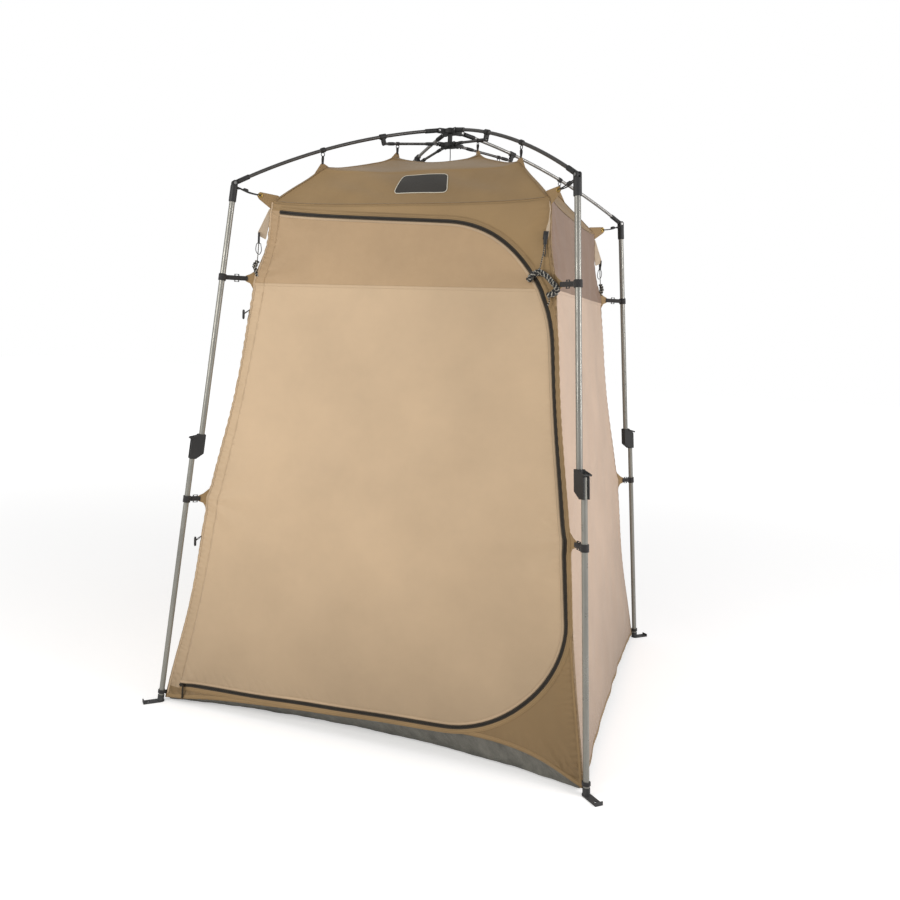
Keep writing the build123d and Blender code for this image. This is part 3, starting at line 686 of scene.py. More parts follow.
def wall_points(side, x, z, lift=0.0):
    """Places on a hanging wall: its level x and height, and a lift off its outer face."""
    x, z = np.asarray(x, float), np.asarray(z, float)
    half = half_width(z)
    near = np.clip(np.abs(x) / half, 0, 1)
    gap = half - np.abs(x)
    pucker = PUCKER * np.sin(2 * pi * z / PUCKER_LENGTH + 1.3 * np.sin(z * 23))
    pucker *= np.clip((EAVE_Z - z) / 0.02, 0, 1) * np.clip(z / 1.1, 0.15, 1)
    border = seam_shift(z) * near**8 + pucker * np.exp(-np.abs(gap) / 0.018)
    calm = np.clip(gap / 0.07, 0, 1)
    relief = np.zeros_like(x)
    for kx, kz, phase in WALL_WAVES[side]:
        relief += 0.0011 * np.sin(kx * x + kz * z + phase)
    calm *= np.clip((EAVE_Z - z) / 0.06, 0, 1)
    relief *= calm
    for height in ANCHORS:
        for way in (-1, 1):
            reach = half - way * x
            distance = np.hypot(reach, z - height) + 1e-6
            turn = np.arctan2(z - height, reach)
            fold = np.exp(-distance / 0.13) * (1 - np.exp(-((distance / 0.05) ** 2)))
            size = (0.0030 if side else 0.0085) if height == HEM_Z else 0.0050
            relief += size * fold * np.cos(9 * turn + way) * calm
    rise = EAVE_LIFT * near**4 * np.clip((z - 1.62) / (EAVE_Z - 1.62), 0, 1) ** 2
    out = half - border + (relief + lift) * cos(atan2(WALL_SLOPE, 1))
    inward = np.sign(x) * border * near
    points = np.stack([x - inward, -out, z + rise + lift * WALL_SLOPE], axis=-1)
    return quarter_turn(points, side)


def hem_height(side, x):
    """Height of a wall's lower edge."""
    low = half_width(HEM_Z)
    if side:
        return HEM_Z + (HEM_MIDDLE_Z - HEM_Z) * (1 - (x / low) ** 2)
    curve = smooth([(-low, HEM_Z), *HEM_REST, (low, HEM_Z)])
    return np.interp(x, curve[:, 0], curve[:, 1])


def wall_outline(side, step=0.007):
    """Closed edge of a wall, anticlockwise from outside: hem, right seam, eave, left seam."""
    low, high = half_width(HEM_Z), half_width(EAVE_Z)
    xs = np.linspace(-low, low, 200)
    hem = np.stack([xs, hem_height(side, xs)], axis=1)
    edge = np.vstack([hem, [(high, EAVE_Z), (-high, EAVE_Z), (-low, HEM_Z)]])
    return even_steps(edge, step)[:-1]


def bezier(p0, p1, p2, p3, count=24):
    t = np.linspace(0, 1, count)[:, None]
    p0, p1, p2, p3 = (np.array(p, float) for p in (p0, p1, p2, p3))
    return (1 - t) ** 3 * p0 + 3 * (1 - t) ** 2 * t * p1 + 3 * (1 - t) * t**2 * p2 + t**3 * p3


def zip_line(step=0.006):
    """The zip's line on the front wall, from its lower left end round to its upper left end."""
    line = np.vstack(
        [
            [ZIP_BOTTOM_START],
            bezier(ZIP_BOTTOM_END, *ZIP_LOW_CURVE, ZIP_SIDE_START),
            bezier(ZIP_SIDE_END, *ZIP_HIGH_CURVE, ZIP_TOP_START),
            [ZIP_TOP_END],
        ]
    )
    return even_steps(line, step)


def shift_line(line, out):
    """A 2-D line moved to its right-hand side, which is away from the door's middle."""
    along = np.gradient(line, axis=0)
    along /= np.linalg.norm(along, axis=1)[:, None]
    return line + np.stack([along[:, 1], -along[:, 0]], axis=1) * out


def seam_squash(piece):
    """Gives a wall piece its own copy of its mesh."""
    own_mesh(piece)


def door_outline(out):
    """Closed edge of the door: the zip's line moved outwards, and the uncut left edge."""
    line = zip_line()
    left = even_steps([line[-1], line[0]], 0.007)[1:-1]
    return np.vstack([shift_line(line, out), left])


def make_wall(side):
    """One hanging wall, with its hem."""
    hole = door_outline(ZIP_HALF_GAP) if side == 0 else None
    flat, faces = fill(wall_outline(side), hole)
    shape = Shape()
    shape.add(wall_points(side, flat[:, 0], flat[:, 1]), faces.tolist(), flat)
    cloth = side_cloth if side else front_cloth
    name = WALLS[side]
    body = f"{WALL_CORNER[side]}_leg"
    wall = shape.make(f"{name}_cloth_wall", [cloth, inner_cloth], body, "wall_fabric")
    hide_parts(f"{name}_wall")
    seam_squash(wall)
    add_thickness(wall)


def make_door():
    """The door's cloth, inside the zip."""
    flat, faces = fill(door_outline(-ZIP_HALF_GAP))
    shape = Shape()
    shape.add(wall_points(0, flat[:, 0], flat[:, 1]), faces.tolist(), flat)
    door = shape.make("door_cloth_panel", [door_cloth, inner_cloth], "door", "door_fabric")
    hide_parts("door_panel")
    seam_squash(door)
    add_thickness(door)


def wall_strip(shape, side, line, width, thickness, lift, slot=0):
    """A flat strip laid on a wall along a 2-D line."""
    edge = shift_line(line, 0.001)
    path = wall_points(side, line[:, 0], line[:, 1], lift)
    across = wall_points(side, edge[:, 0], edge[:, 1], lift) - path
    shape.sweep(path, strip(width, thickness), across, slot)


def add_teeth(shape, line, out, slot):
    """Zip teeth along a line, each a small block across the chain."""
    line = even_steps(line, TOOTH_PITCH)
    middle = shift_line(line, out)
    low = wall_points(0, middle[:, 0], middle[:, 1], 0.0012)
    high = wall_points(0, middle[:, 0], middle[:, 1], 0.0036)
    side = shift_line(line, out + 0.001)
    across = wall_points(0, side[:, 0], side[:, 1], 0.0012) - low
    across /= np.linalg.norm(across, axis=1)[:, None]
    along = np.gradient(low, axis=0)
    along /= np.linalg.norm(along, axis=1)[:, None]
    quads = [(0, 3, 2, 1), (4, 5, 6, 7), (0, 1, 5, 4), (1, 2, 6, 5), (2, 3, 7, 6), (3, 0, 4, 7)]
    for i in range(len(line)):
        box = [
            base[i] + along[i] * a * 0.0012 + across[i] * c * width
            for base, width in ((low, 0.0016), (high, 0.0012))
            for a, c in ((-1, -1), (1, -1), (1, 1), (-1, 1))
        ]
        shape.add(box, quads, [(0, 0)] * 8, slot)


def make_zip():
    """Both halves of the zip: tape, teeth and the fold of cloth that is stitched to each tape."""
    line = zip_line()
    for name, way, body, cloth, slot in (
        ("zip_outer_half", 1, "front_left_leg", trim_cloth, "wall_fabric"),
        ("zip_door_half", -1, "door", door_trim_cloth, "door_fabric"),
    ):
        fold = 0.014 if way > 0 else 0.009
        shape = Shape()
        tape_middle = 0.0006 + TAPE_WIDTH / 2
        wall_strip(shape, 0, shift_line(line, way * tape_middle), TAPE_WIDTH, 0.0008, 0.0008, 0)
        fold_line = shift_line(line, way * (0.0004 + TAPE_WIDTH + fold / 2))
        wall_strip(shape, 0, fold_line, fold, 0.0012, 0.0008, 1)
        add_teeth(shape, line, way * 0.0016, 2)
        half = shape.make(name, [zip_tape, cloth, zip_teeth], body, slot)
        seam_squash(half)


def make_wall_trims(side):
    """Stitched tapes of a wall: its corner seams and its hem."""
    shape = Shape()
    low, high = half_width(HEM_Z), half_width(EAVE_Z)
    seam = even_steps([(0.007 - low, HEM_Z + 0.002), (0.007 - high, EAVE_Z)], 0.006)
    far_seam = seam * (-1, 1)
    xs = np.linspace(0.004 - low, low - 0.004, 240)
    hem = np.stack([xs, hem_height(side, xs) + 0.008], axis=1)
    beside_door = 0 if side else 1
    for line, width, slot in (
        (seam, 0.007, beside_door),
        (far_seam, 0.008, 0),
        (hem, 0.012, 0),
    ):
        wall_strip(shape, side, line, width, 0.0010, 0.0004, slot)
    cloths = [trim_cloth, door_trim_cloth]
    body = f"{WALL_CORNER[side]}_leg"
    trims = shape.make(f"{WALLS[side]}_trims", cloths, body, "wall_fabric")
    seam_squash(trims)


# ---------------------------------------------------------------- roof bands
BAND_PROFILE = smooth(
    [
        (EAVE_HALF, EAVE_Z),
        (0.438, 1.862),
        (0.375, 1.920),
        BAND_MIDDLE,
        (0.265, 1.970),
        (0.21, 1.991),
        BAND_TOP,
    ]
)
BAND_BULGE = (-0.004, -0.020, -0.016, -0.016)
PEAK_R = 0.52  # rib loops
TOP_PEAK_R = 0.222  # strut loops
BAND_LENGTH = 0.420  # along its slope
LABEL_X = 0.10
LABEL_UP = 0.20
LABEL_BAND_HALF = 0.44  # half width of the band where the label sits


def band_points(side, share_x, share_up, lift=0.0):
    """Places on a roof band: -1 to 1 between its corner seams, 0 to 1 from eave to top."""
    share_x, share_up = np.asarray(share_x, float), np.asarray(share_up, float)
    steps = np.linspace(0, 1, len(BAND_PROFILE))
    half = np.interp(share_up, steps, BAND_PROFILE[:, 0])
    z = np.interp(share_up, steps, BAND_PROFILE[:, 1])
    near = np.abs(share_x)
    gap = half * (1 - near)
    x = share_x * half
    open_span = 1 - near**2
    calm = np.clip(gap / 0.05, 0, 1) * np.clip(share_up / 0.12, 0, 1)
    relief = BAND_BULGE[side] * open_span * np.sin(pi * share_up)
    for kx, kz, phase in BAND_WAVES[side]:
        relief += 0.0011 * np.sin(kx * x + kz * z * 1.5 + phase) * calm
    pull = np.exp(-(((half * sqrt(2) - PEAK_R) / 0.045) ** 2)) * np.exp(-gap / 0.05)
    top = np.exp(-(((half * sqrt(2) - TOP_PEAK_R) / 0.04) ** 2)) * np.exp(-gap / 0.035)
    z = z + EAVE_LIFT * near**4 * (1 - share_up) ** 2
    z = z + 0.012 * pull + 0.014 * top - 0.012 * open_span * share_up**4
    out = -half - relief * 0.5 - lift * 0.45
    up = z + relief * 0.85 + lift * 0.89
    points = np.stack([x, out, up], axis=-1)
    return quarter_turn(points, side)


def band_squash(piece):
    """Gives a band's piece its own copy of its mesh."""
    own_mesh(piece)


def make_band(side):
    """One roof band with its top hem."""
    columns, rows = 81, 49
    share_x, share_up = np.meshgrid(np.linspace(-1, 1, columns), np.linspace(0, 1, rows))
    points = band_points(side, share_x, share_up).reshape(-1, 3)
    half = np.interp(share_up, np.linspace(0, 1, len(BAND_PROFILE)), BAND_PROFILE[:, 0])
    uvs = np.stack([(share_x * half).ravel(), share_up.ravel() * BAND_LENGTH], axis=1)
    shape = Shape()
    shape.add(points, grid_faces(columns, rows), uvs)
    name = WALLS[side]
    body = f"{WALL_CORNER[side]}_rib_arm"
    band = shape.make(f"{name}_roof_band", [band_cloth, inner_cloth], body, "wall_fabric")
    add_thickness(band)
    trims = Shape()
    spread = np.linspace(-0.97, 0.97, 60)
    rise = np.linspace(0.02, 0.98, 60)
    for xs, ups, width in (
        (spread, np.full(60, 0.968), 0.012),
        (spread, np.full(60, 0.012), 0.007),
        (np.full(60, -0.985), rise, 0.008),
        (np.full(60, 0.985), rise, 0.008),
    ):
        path = band_points(side, xs, ups, 0.0008)
        lifted = band_points(side, xs, ups, 0.0018)
        along = np.gradient(path, axis=0)
        trims.sweep(path, strip(width, 0.0010), np.cross(lifted - path, along))
    hem = trims.make(f"{name}_band_trims", [trim_cloth], body, "wall_fabric")
    for piece in (band, hem):
        band_squash(piece)
    return band


def make_label():
    """Plain stitched patch on the front band, with a pale edge; it carries no mark."""
    half_long, half_tall, corner_r = 0.092, 0.040, 0.014
    outline = []
    for middle_x, middle_z, start in ((1, 1, 0), (-1, 1, 90), (-1, -1, 180), (1, -1, 270)):
        for step in range(6):
            turn = radians(start + step * 18)
            outline.append(
                (middle_x * (half_long - corner_r) + corner_r * cos(turn),
                 middle_z * (half_tall - corner_r) + corner_r * sin(turn))
            )
    outline = even_steps(outline + outline[:1], 0.004)[:-1]
    flat, faces = fill(outline, coarse=0.010, near=0.012)

    def on_band(points, lift):
        share_x = LABEL_X + points[:, 0] / LABEL_BAND_HALF
        share_up = LABEL_UP + points[:, 1] / BAND_LENGTH
        return band_points(0, share_x, share_up, lift)

    shape = Shape()
    shape.add(on_band(flat, 0.0024), faces.tolist(), flat)
    shape.sweep(on_band(outline, 0.0020), ring(0.0016, 6), slot=1, closed=True)
    body = "front_left_rib_arm"
    label = shape.make("plain_label", [label_cloth, label_edge], body, "wall_fabric")
    band_squash(label)


# ---------------------------------------------------------------- floor
FLOOR_FLAT = 0.93  # share of the sheet that lies on the ground
FLOOR_FRONT_BOW = 0.085


def hem_behind(u, v):
    """Places just inside the walls' hems, for the sheet's edge. u or v is 1 or -1 there."""
    found = np.zeros(u.shape + (3,))
    for side in range(4):
        along = (u, v, -u, -v)[side]
        across = (-v, u, v, -u)[side]
        x = np.clip(along, -1, 1) * (half_width(HEM_Z) - 0.006)
        place = wall_points(side, x, hem_height(side, x) + 0.010, -0.005)
        found[across >= np.abs(along) - 1e-9] = place[across >= np.abs(along) - 1e-9]
    return found


def make_floor():
    """Coated sheet on the ground, crinkled, whose edges stand up inside the hems."""
    count = 121
    u, v = np.meshgrid(np.linspace(-1, 1, count), np.linspace(-1, 1, count))
    edge = np.maximum(np.abs(u), np.abs(v))
    half, side_bow = 0.735, 0.025
    gu, gv = u / FLOOR_FLAT, v / FLOOR_FLAT
    gu, gv = np.clip(gu, -1, 1), np.clip(gv, -1, 1)
    bow = np.where(v < 0, FLOOR_FRONT_BOW, side_bow)
    x = gu * (half - side_bow * (1 - gv**2) * np.abs(gu))
    y = gv * (half - bow * (1 - gu**2) * np.abs(gv))
    z = np.full_like(x, 0.0035)
    for kx, kz, phase in waves(31, 9, 0.05, 0.22):
        z = z + 0.0011 * np.sin(kx * x + kz * y + phase) * np.clip(1.02 - edge, 0, 0.2) * 5
    z = np.maximum(z, 0.0012)
    flat = np.stack([x, y, z], axis=-1)
    rim = hem_behind(u / np.maximum(edge, 1e-6), v / np.maximum(edge, 1e-6))
    share = np.clip((edge - FLOOR_FLAT) / (1 - FLOOR_FLAT), 0, 1)[..., None]
    points = flat * (1 - share) + rim * share
    crumple = np.zeros_like(x)
    for kx, ky, phase in waves(33, 8, 0.018, 0.06):
        crumple += 0.0009 * np.sin(kx * (x + y) + ky * (x - y) + edge * 40 + phase)
    bump = (crumple * np.sin(pi * share[..., 0]))[..., None]
    outward = np.stack([u, v, np.zeros_like(u)], axis=-1)
    points = (points - outward * np.abs(bump)).reshape(-1, 3)
    shape = Shape()
    uvs = np.stack([u.ravel() * 0.8, v.ravel() * 0.8], axis=1)
    shape.add(points, grid_faces(count, count), uvs)
    floor = shape.make("floor_film_sheet", [floor_film, floor_film], "tent", "floor_fabric")
    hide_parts("floor_sheet")
    add_thickness(floor)


# ---------------------------------------------------------------- small soft parts at each corner
def seam_r(z):
    """Distance of a corner seam from the centre line."""
    z = np.array([float(z)])
    return float((half_width(z) - seam_shift(z))[0] * sqrt(2))


def gusset(shape, place, outline, thickness=0.0016, slot=0):
    """Cloth tab from its outline, which place() turns from two measures and a lift to a point."""
    outline = np.array(outline)
    border = even_steps(np.vstack([outline, outline[:1]]), 0.006)[:-1]
    flat, faces = fill(border, coarse=0.012, near=0.02)
    rims = []
    middle = flat.mean(0)
    spread = np.hypot(*(flat - middle).T).max()
    for way in (-1, 1):
        swell = 1 - 0.5 * (np.hypot(*(flat - middle).T) / spread)
        rims.append(
            [place(r, z, way * thickness * s) for (r, z), s in zip(flat, swell)]
        )
    shape.add(rims[0], faces.tolist(), flat, slot)
    shape.add(rims[1], faces[:, ::-1].tolist(), flat, slot)
    path = [place(r, z, 0.0) for r, z in border]
    shape.sweep(path, ring(thickness * 0.9, 6), slot=slot, closed=True)


def upright_at(corner):
    """Places in a corner's upright plane, from a radius, a height and a step across it."""
    return lambda r, z, lift: at_corner(corner, r, z, lift)


def loop_round(shape, centre, axis, radius, section, slot=0, turns=28):
    """Closed band round a tube."""
    axis = Vector(axis).normalized()
    first = axis.orthogonal().normalized()
    second = axis.cross(first)
    path = [
        centre + (first * cos(a) + second * sin(a)) * radius
        for a in (np.arange(turns) * 2 * pi / turns)
    ]
    shape.sweep(path, section, np.array(axis), slot, closed=True)


def torus(shape, centre, axis, radius, thick, slot=0, turns=24):
    """Ring of round wire."""
    loop_round(shape, centre, axis, radius, ring(thick, 8), slot, turns)


def leg_axis(corner):
    """Direction down the legs."""
    return at_corner(corner, sin(LEAN), -cos(LEAN)) - at_corner(corner, 0, 0)


def across_axis(corner):
    """Level direction square to a corner's upright plane."""
    return at_corner(corner, 0, 0, 1.0)


def paired_lines(shape, corner, places, spreads, section, facing=None, slot=1, steps=5):
    """Two lines side by side through the same places, spread apart by a distance at each."""
    for way in (-1, 1):
        apart = [p + across_axis(corner) * way * s for p, s in zip(places, spreads)]
        shape.sweep(smooth(apart, steps), section, facing, slot)


def make_rib_loop(corner):
    """Clip on the rib and the loop from it that holds up the corner seam."""
    shape = Shape()
    top = at_corner(corner, PEAK_R, rib_height(PEAK_R))
    ahead = at_corner(corner, PEAK_R + 0.01, rib_height(PEAK_R + 0.01))
    loop_round(shape, top, ahead - top, RIB_R + 0.0016, strip(0.016, 0.0026), 0)
    peak_z = 1.962
    foot = at_corner(corner, PEAK_R, peak_z)
    hook = top - Vector((0, 0, RIB_R + 0.005))
    torus(shape, hook - Vector((0, 0, 0.004)), across_axis(corner), 0.0065, 0.0016, 0)
    start = hook - Vector((0, 0, 0.009))
    end = foot - Vector((0, 0, 0.004))
    places = (start, (hook + foot) / 2, end)
    paired_lines(shape, corner, places, (0, 0.003, 0), strip(0.008, WEB), np.array(ahead - top))
    body = f"{corner}_rib_arm"
    shape.make(f"{corner}_rib_loop", [black_plastic, black_webbing], body, "moulding")
    tab = Shape()
    outline = [
        (PEAK_R + 0.036, 1.912),
        (PEAK_R + 0.005, peak_z),
        (PEAK_R - 0.005, peak_z),
        (PEAK_R - 0.052, 1.937),
        (PEAK_R - 0.01, 1.918),
    ]
    gusset(tab, upright_at(corner), outline)
    tab.make(f"{corner}_rib_tab", [trim_cloth], body, "wall_fabric")


def make_strut_loop(corner):
    """Loop from the strut that holds up the band's top corner, and the strut's end sleeves."""
    bracket_r, bracket_z = 0.27822, 2.06227
    slope = (LOWER_HUB_Z - bracket_z) / (HUB_PIVOT_R - bracket_r)

    def strut_point(r):
        return at_corner(corner, r, bracket_z + slope * (r - bracket_r))

    shape = Shape()
    way = strut_point(0.1) - strut_point(0.2)
    for low, high in ((0.236, 0.262), (0.074, 0.104)):
        path = [strut_point(r) for r in np.linspace(low, high, 6)]
        shape.sweep(path, ring(STRUT_R + 0.0016, 16), scale=[0.9, 1, 1, 1, 1, 0.9])
    top = strut_point(TOP_PEAK_R)
    loop_round(shape, top, way, STRUT_R + 0.0012, strip(0.012, 0.0018), 1)
    foot = at_corner(corner, TOP_PEAK_R, 2.034)
    torus(shape, top - Vector((0, 0, STRUT_R + 0.006)), across_axis(corner), 0.006, 0.0015, 0)
    start = top - Vector((0, 0, STRUT_R + 0.009))
    end = foot - Vector((0, 0, 0.006))
    places = (start, (top + foot) / 2, end)
    paired_lines(shape, corner, places, (0, 0.003, 0), strip(0.008, WEB), np.array(way))
    body = f"{corner}_strut_arm"
    shape.make(f"{corner}_strut_loop", [black_plastic, black_webbing], body, "moulding")
    tab = Shape()
    outline = [
        (TOP_PEAK_R + 0.040, 1.994),
        (TOP_PEAK_R + 0.004, 2.036),
        (TOP_PEAK_R - 0.004, 2.036),
        (TOP_PEAK_R - 0.012, 2.004),
        (TOP_PEAK_R + 0.012, 1.990),
    ]
    gusset(tab, upright_at(corner), outline)
    tab.make(f"{corner}_strut_tab", [trim_cloth], f"{corner}_rib_arm", "wall_fabric")


def make_eave_tab(corner):
    """Grommet tab at the eave's corner, and its elastic cord up to the corner joint."""
    tab, fittings = Shape(), Shape()
    r = seam_r(EAVE_Z)
    grommet_r, grommet_z = r + 0.040, EAVE_Z + 0.036
    gusset(
        tab, upright_at(corner),
        [(r - 0.006, EAVE_Z - 0.010), (grommet_r + 0.004, grommet_z - 0.012), (grommet_r + 0.011, grommet_z),
         (grommet_r + 0.002, grommet_z + 0.011), (r - 0.030, EAVE_Z + 0.040)],
    )
    tab.make(f"{corner}_eave_tab", [trim_cloth], f"{corner}_leg", "wall_fabric")
    centre = at_corner(corner, grommet_r, grommet_z)
    torus(fittings, centre + across_axis(corner) * 0.0018, across_axis(corner), 0.0062, 0.0022, 0)
    torus(fittings, centre - across_axis(corner) * 0.0018, across_axis(corner), 0.0062, 0.0022, 0)
    joint = at_corner(corner, leg_r(CORNER_Z - 0.012) - 0.013, CORNER_Z - 0.014)
    sag = (centre + joint) / 2 - Vector((0, 0, 0.004))
    places, spreads = (centre, sag, joint), (0.003, 0.006, 0.003)
    paired_lines(fittings, corner, places, spreads, ring(0.0022, 8), steps=7)
    loop_round(fittings, joint + leg_axis(corner) * 0.004, leg_axis(corner), 0.006, ring(0.0022, 8), 1)
    toggle = centre * 0.35 + joint * 0.65
    run = (joint - centre).normalized()
    ends = [
        toggle - run * 0.009,
        toggle - run * 0.006,
        toggle + run * 0.006,
        toggle + run * 0.009,
    ]
    fittings.sweep(ends, ring(0.0062, 12), scale=[0.7, 1, 1, 0.7], slot=2)
    materials = [brass, black_cord, black_plastic]
    fittings.make(f"{corner}_eave_cord", materials, f"{corner}_leg", "moulding")


def make_leg_strap(corner, name, height, on_lower_leg):
    """Cloth tab on the seam, a ring, and a black strap round the leg."""
    tab, strap = Shape(), Shape()
    r = seam_r(height)
    tip = r + 0.026
    half = 0.036
    gusset(
        tab, upright_at(corner),
        [(seam_r(height - half) - 0.003, height - half), (r + 0.008, height - half * 0.45),
         (tip, height - 0.009), (tip, height + 0.009), (r + 0.008, height + half * 0.45),
         (seam_r(height + half) - 0.003, height + half), (r - 0.010, height)],
    )
    tab.make(f"{corner}_{name}_tab", [trim_cloth], f"{corner}_leg", "wall_fabric")
    out = (LEG_GAP / cos(LEAN)) if on_lower_leg else 0.0
    tube_r = LOWER_LEG_R if on_lower_leg else UPPER_LEG_R
    centre = at_corner(corner, leg_r(height) + out, height)
    loop_round(strap, centre, leg_axis(corner), tube_r + 0.0024, strip(0.024, 0.0026), 0)
    near = at_corner(corner, leg_r(height) + out - tube_r - 0.003, height)
    end = at_corner(corner, tip - 0.006, height)
    places, spreads = (near, (near + end) / 2, end), (0.004, 0.005, 0.003)
    paired_lines(strap, corner, places, spreads, strip(0.016, WEB), (0, 0, 1), 0)
    buckle = (near + end) / 2
    square = [
        buckle + (end - near).normalized() * a + Vector((0, 0, b))
        for a, b in ((-0.007, -0.013), (0.007, -0.013), (0.007, 0.013), (-0.007, 0.013))
    ]
    strap.sweep(square, ring(0.0022, 8), slot=1, closed=True)
    strap.make(f"{corner}_{name}", [black_webbing, black_plastic], f"{corner}_leg", "moulding")


def make_foot_strap(corner):
    """Web from the hem's corner to the leg just above the foot."""
    strap = Shape()
    height = 0.036
    hem = at_corner(corner, seam_r(0.03) - 0.004, 0.034)
    leg = at_corner(corner, leg_r(height) + LEG_GAP - LOWER_LEG_R - 0.002, height)
    path = smooth([hem, (hem + leg) / 2 - Vector((0, 0, 0.004)), leg], 6)
    strap.sweep(path, strip(0.014, WEB), (0, 0, 1), 0)
    centre = at_corner(corner, leg_r(height) + LEG_GAP / cos(LEAN), height)
    loop_round(strap, centre, leg_axis(corner), LOWER_LEG_R + 0.0026, strip(0.012, 0.0022), 0)
    strap.make(f"{corner}_foot_strap", [black_webbing], f"{corner}_lower_leg", "moulding")


def braid(shape, points, spread, strand, slot):
    """Three strands plaited along a line."""
    path = even_steps(smooth(points), 0.003)
    along = np.gradient(path, axis=0)
    along /= np.linalg.norm(along, axis=1)[:, None]
    side = np.cross(along, (0.3, 0.2, 1.0))
    side /= np.linalg.norm(side, axis=1)[:, None]
    front = np.cross(along, side)
    run = np.arange(len(path)) * 0.003
    for strand_number in range(3):
        turn = 2 * pi * (run / BRAID_PITCH + strand_number / 3)
        swing = side * np.sin(turn)[:, None] * spread + front * np.sin(2 * turn)[:, None] * spread / 2
        shape.sweep(path + swing, ring(strand, 8), slot=slot)


def over_wall(u, z, lift):
    """Places on the front wall beside its right seam, where that corner's flap has fallen over."""
    x = min(half_width(z) - 0.003, EAVE_HALF + 0.012 - 0.3 * u)
    return Vector(wall_points(0, [x], [z], 0.003 + lift)[0])


BRAID_PITCH = 0.036
FLAP = ((-0.004, -0.010), (0.004, -0.008), (0.044, -0.094), (0.038, -0.106), (0.016, -0.116))
HANGING_HANK = ((0.043, -0.196), (0.052, -0.214), (0.047, -0.240), (0.036, -0.266), (0.042, -0.284))
FALLEN_HANK = (
    (0.454, 1.540), (0.466, 1.556), (0.487, 1.566), (0.507, 1.557), (0.524, 1.538),
    (0.541, 1.518), (0.538, 1.500), (0.520, 1.494),
)


def make_guy_line(corner):
    """Cloth flap on the seam, its buckle, a thin cord, and the rest of the cord in a hank."""
    flap, gear = Shape(), Shape()
    fallen = corner == "front_right"
    start = seam_r(EAVE_Z)

    def hanging(u, z, lift):
        return at_corner(corner, start + u, z, lift)

    place = over_wall if fallen else hanging
    gusset(flap, place, [(u, EAVE_Z + z) for u, z in FLAP])
    flap.make(f"{corner}_guy_flap", [flap_cloth], f"{corner}_leg", "wall_fabric")
    spot = [place(0.042, EAVE_Z + z, 0.003) for z in (-0.094, -0.106, -0.118, -0.134)]
    level = np.array((1, 0, 0)) if fallen else np.array(across_axis(corner))
    gear.sweep(spot[:3], strip(0.016, 0.0040), level, 0)
    gear.sweep(spot[1:], strip(0.011, 0.0060), level, 1)
    rim = [
        place(0.042 + a, EAVE_Z + z, 0.004)
        for a, z in ((-0.007, -0.134), (0.007, -0.134), (0.010, -0.160), (-0.002, -0.172), (-0.010, -0.158))
    ]
    gear.sweep(smooth(rim + rim[:1], 4)[:-1], ring(0.0014, 7), slot=1, closed=True)
    if fallen:
        hank = [Vector(wall_points(0, [x], [z], 0.013)[0]) for x, z in FALLEN_HANK]
        tied_at = hank[2]
    else:
        hank = [place(u, EAVE_Z + z, 0.006 * sin(40 * z)) for u, z in HANGING_HANK]
        tied_at = hank[0]
    cord = [spot[3], (spot[3] + tied_at) / 2 + Vector((0, 0, -0.004)), tied_at]
    gear.sweep(smooth(cord, 8), ring(0.0017, 8), slot=2)
    braid(gear, hank, 0.0074 if fallen else 0.0056, 0.0056 if fallen else 0.0042, 2)
    wrap = hank[2] if fallen else hank[1]
    torus(gear, wrap, hank[3] - hank[1], 0.0105 if fallen else 0.0085, 0.0022, 2)
    tail = [hank[-1], hank[-1] + Vector((0.006, -0.002, -0.018)), hank[-1] + Vector((0.0, -0.003, -0.036))]
    gear.sweep(smooth(tail, 6), ring(0.0017, 7), slot=2)
    gear.make(f"{corner}_guy_line", [black_webbing, black_plastic, spotted_cord], f"{corner}_leg", "moulding")


def make_toggles():
    """Two toggles on the front left seam, which tie back the rolled door."""
    for number, height in enumerate((1.42, 0.60)):
        shape = Shape()
        root = at_corner("front_left", seam_r(height) - 0.002, height)
        out = at_corner("front_left", seam_r(height) + 0.022, height - 0.018)
        places = (root, (root + out) / 2, out)
        paired_lines(shape, "front_left", places, (0, 0.006, 0), ring(0.0013, 7), steps=6)
        ends = [out + Vector((0.003, -0.003, s)) for s in (-0.017, -0.012, 0.012, 0.017)]
        shape.sweep(ends, ring(0.0045, 10), slot=0, scale=[0.6, 1, 1, 0.6])
        shape.make(f"door_toggle_{number + 1}", [black_plastic, black_cord], "front_left_leg", "moulding")


def make_hub_cord():
    """Pull cord below the lower hub."""
    shape = Shape()
    top = Vector((0.004, -0.006, LOWER_HUB_Z - 0.006))
    middle = top + Vector((0.002, 0, -0.05))
    end = top + Vector((-0.004, 0.002, -0.105))
    shape.sweep(smooth([top, middle, end], 8), ring(0.0017, 8), slot=0)
    handle = top + Vector((-0.004, 0.002, -0.120))
    ends = [handle + Vector((0, 0, s)) for s in (0.018, 0.013, -0.013, -0.018)]
    shape.sweep(ends, ring(0.006, 12), slot=1, scale=[0.6, 1, 1, 0.6])
    shape.make("hub_pull_cord", [black_cord, black_plastic], "lower_hub", "moulding")


# ---------------------------------------------------------------- frame finishes
FINISHES = {
    "leg_tube": leg_metal,
    "rib_tube": rib_metal,
    "moulding": black_plastic,
    "foot_plate": foot_paint,
    "rivet": rivet_metal,
    "zip_metal": zip_metal,
}
for subpart in frame["record"]["subparts"]:
    finish = FINISHES.get(subpart["material_slot"])
    # the back ribs take the lighter copy of the rib metal: painted light
    if finish is rib_metal and subpart["node"] in ("back_left_rib", "back_right_rib"):
        finish = back_rib_metal_painted_light
    if finish:
        mesh = frame["nodes"][subpart["node"]].data
        mesh.materials.clear()
        mesh.materials.append(finish)

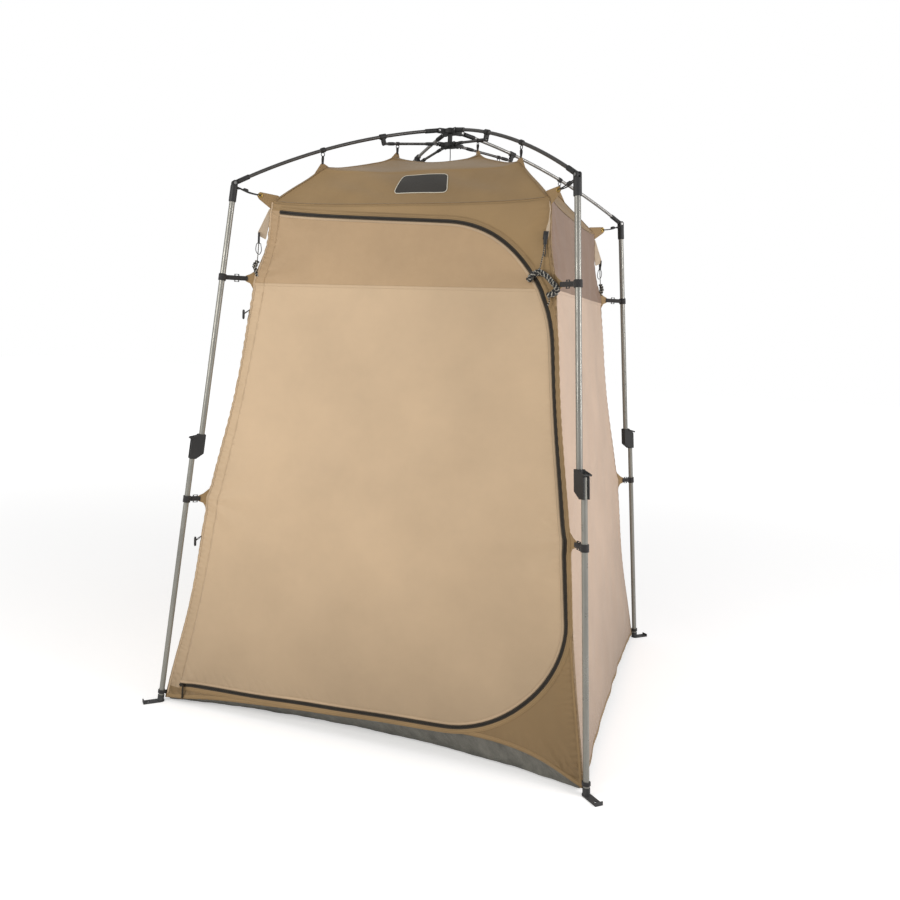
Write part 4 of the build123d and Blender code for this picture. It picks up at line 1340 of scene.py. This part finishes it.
for side in range(4):
    make_wall(side)
    make_wall_trims(side)
bands = [make_band(side) for side in range(4)]
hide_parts("roof_bands")
make_door()
make_zip()
make_label()
make_floor()
for corner in CORNERS:
    make_rib_loop(corner)
    make_strut_loop(corner)
    make_eave_tab(corner)
    make_leg_strap(corner, "high_strap", HIGH_STRAP_Z, False)
    make_leg_strap(corner, "low_strap", LOW_STRAP_Z, True)
    make_foot_strap(corner)
    make_guy_line(corner)
make_toggles()
make_hub_cord()


# ---------------------------------------------------------------- stage, light and camera
FLOOR_GLOW = (0.40, 0.66)  # what the camera sees the studio floor add, near and far


def make_stage():
    """Plain pale floor."""
    bpy.ops.mesh.primitive_plane_add(size=40, location=(0, 0, -0.0005))
    ground = bpy.context.object
    ground.name = "studio_floor"
    finish = Finish("studio_floor", 0.9)
    spot = finish.place()
    finish.colour(finish.mix(finish.noise(0.4, spot), (0.90, 0.90, 0.90, 1), (0.92, 0.92, 0.92, 1)))
    finish.surface.inputs["Emission Color"].default_value = (1, 1, 1, 1)
    seen = finish.node("ShaderNodeLightPath").outputs["Is Camera Ray"]
    away = finish.node("ShaderNodeVectorMath", {0: spot}, operation="LENGTH").outputs["Value"]
    rise = finish.node("ShaderNodeMapRange", {"Value": away, "From Min": 1.5, "From Max": 7.0})
    rise.inputs["To Min"].default_value, rise.inputs["To Max"].default_value = FLOOR_GLOW
    glow = finish.math("MULTIPLY", seen, rise.outputs[0])
    finish.tree.links.new(glow, finish.surface.inputs["Emission Strength"])
    ground.data.materials.append(finish.material)


def make_world(light, backdrop):
    """Even white surroundings: how much light they give, and how bright they look."""
    world = bpy.data.worlds.new("studio")
    world.use_nodes = True
    nodes, links = world.node_tree.nodes, world.node_tree.links
    background = nodes["Background"]
    background.inputs["Color"].default_value = (1, 1, 1, 1)
    seen = nodes.new("ShaderNodeLightPath").outputs["Is Camera Ray"]
    strength = nodes.new("ShaderNodeMapRange")
    strength.inputs["To Min"].default_value = light
    strength.inputs["To Max"].default_value = backdrop
    links.new(seen, strength.inputs["Value"])
    links.new(strength.outputs[0], background.inputs["Strength"])
    bpy.context.scene.world = world


def add_light(name, spot, aim, size, power, colour=(1, 1, 1)):
    """Soft box that points at a place on the tent."""
    light = bpy.data.lights.new(name, "AREA")
    light.shape = "DISK"
    light.size = size
    light.energy = power
    light.color = colour
    made = bpy.data.objects.new(name, light)
    made.location = spot
    made.rotation_euler = (Vector(aim) - Vector(spot)).to_track_quat("-Z", "Y").to_euler()
    bpy.context.scene.collection.objects.link(made)


def make_camera():
    """Camera to the right of the door, at head height."""
    yaw, pitch, roll = radians(20.83), radians(-5.51), radians(2.27)
    forward = Vector((-sin(yaw) * cos(pitch), cos(yaw) * cos(pitch), sin(pitch)))
    level = Vector((cos(yaw), sin(yaw), 0))
    upright = level.cross(forward)
    right = level * cos(roll) + upright * sin(roll)
    up = upright * cos(roll) - level * sin(roll)
    data = bpy.data.cameras.new("camera")
    data.lens = 35.03
    data.shift_x = 0.0712
    data.shift_y = -0.0412
    camera = bpy.data.objects.new("camera", data)
    turn = Matrix((right, up, -forward)).transposed().to_4x4()
    camera.matrix_world = Matrix.Translation((1.048, -3.336, 1.372)) @ turn
    bpy.context.scene.collection.objects.link(camera)
    bpy.context.scene.camera = camera


make_stage()
make_world(0.48, 1.0)
add_light("key", (-1.5, -3.1, 1.9), (-0.1, -0.65, 1.0), 1.5, 42, (1.0, 0.97, 0.93))
add_light("side", (3.4, -0.7, 1.9), (0.6, 0, 0.95), 1.6, 48, (1.0, 0.97, 0.97))
make_camera()
bpy.context.scene.view_settings.view_transform = "Standard"
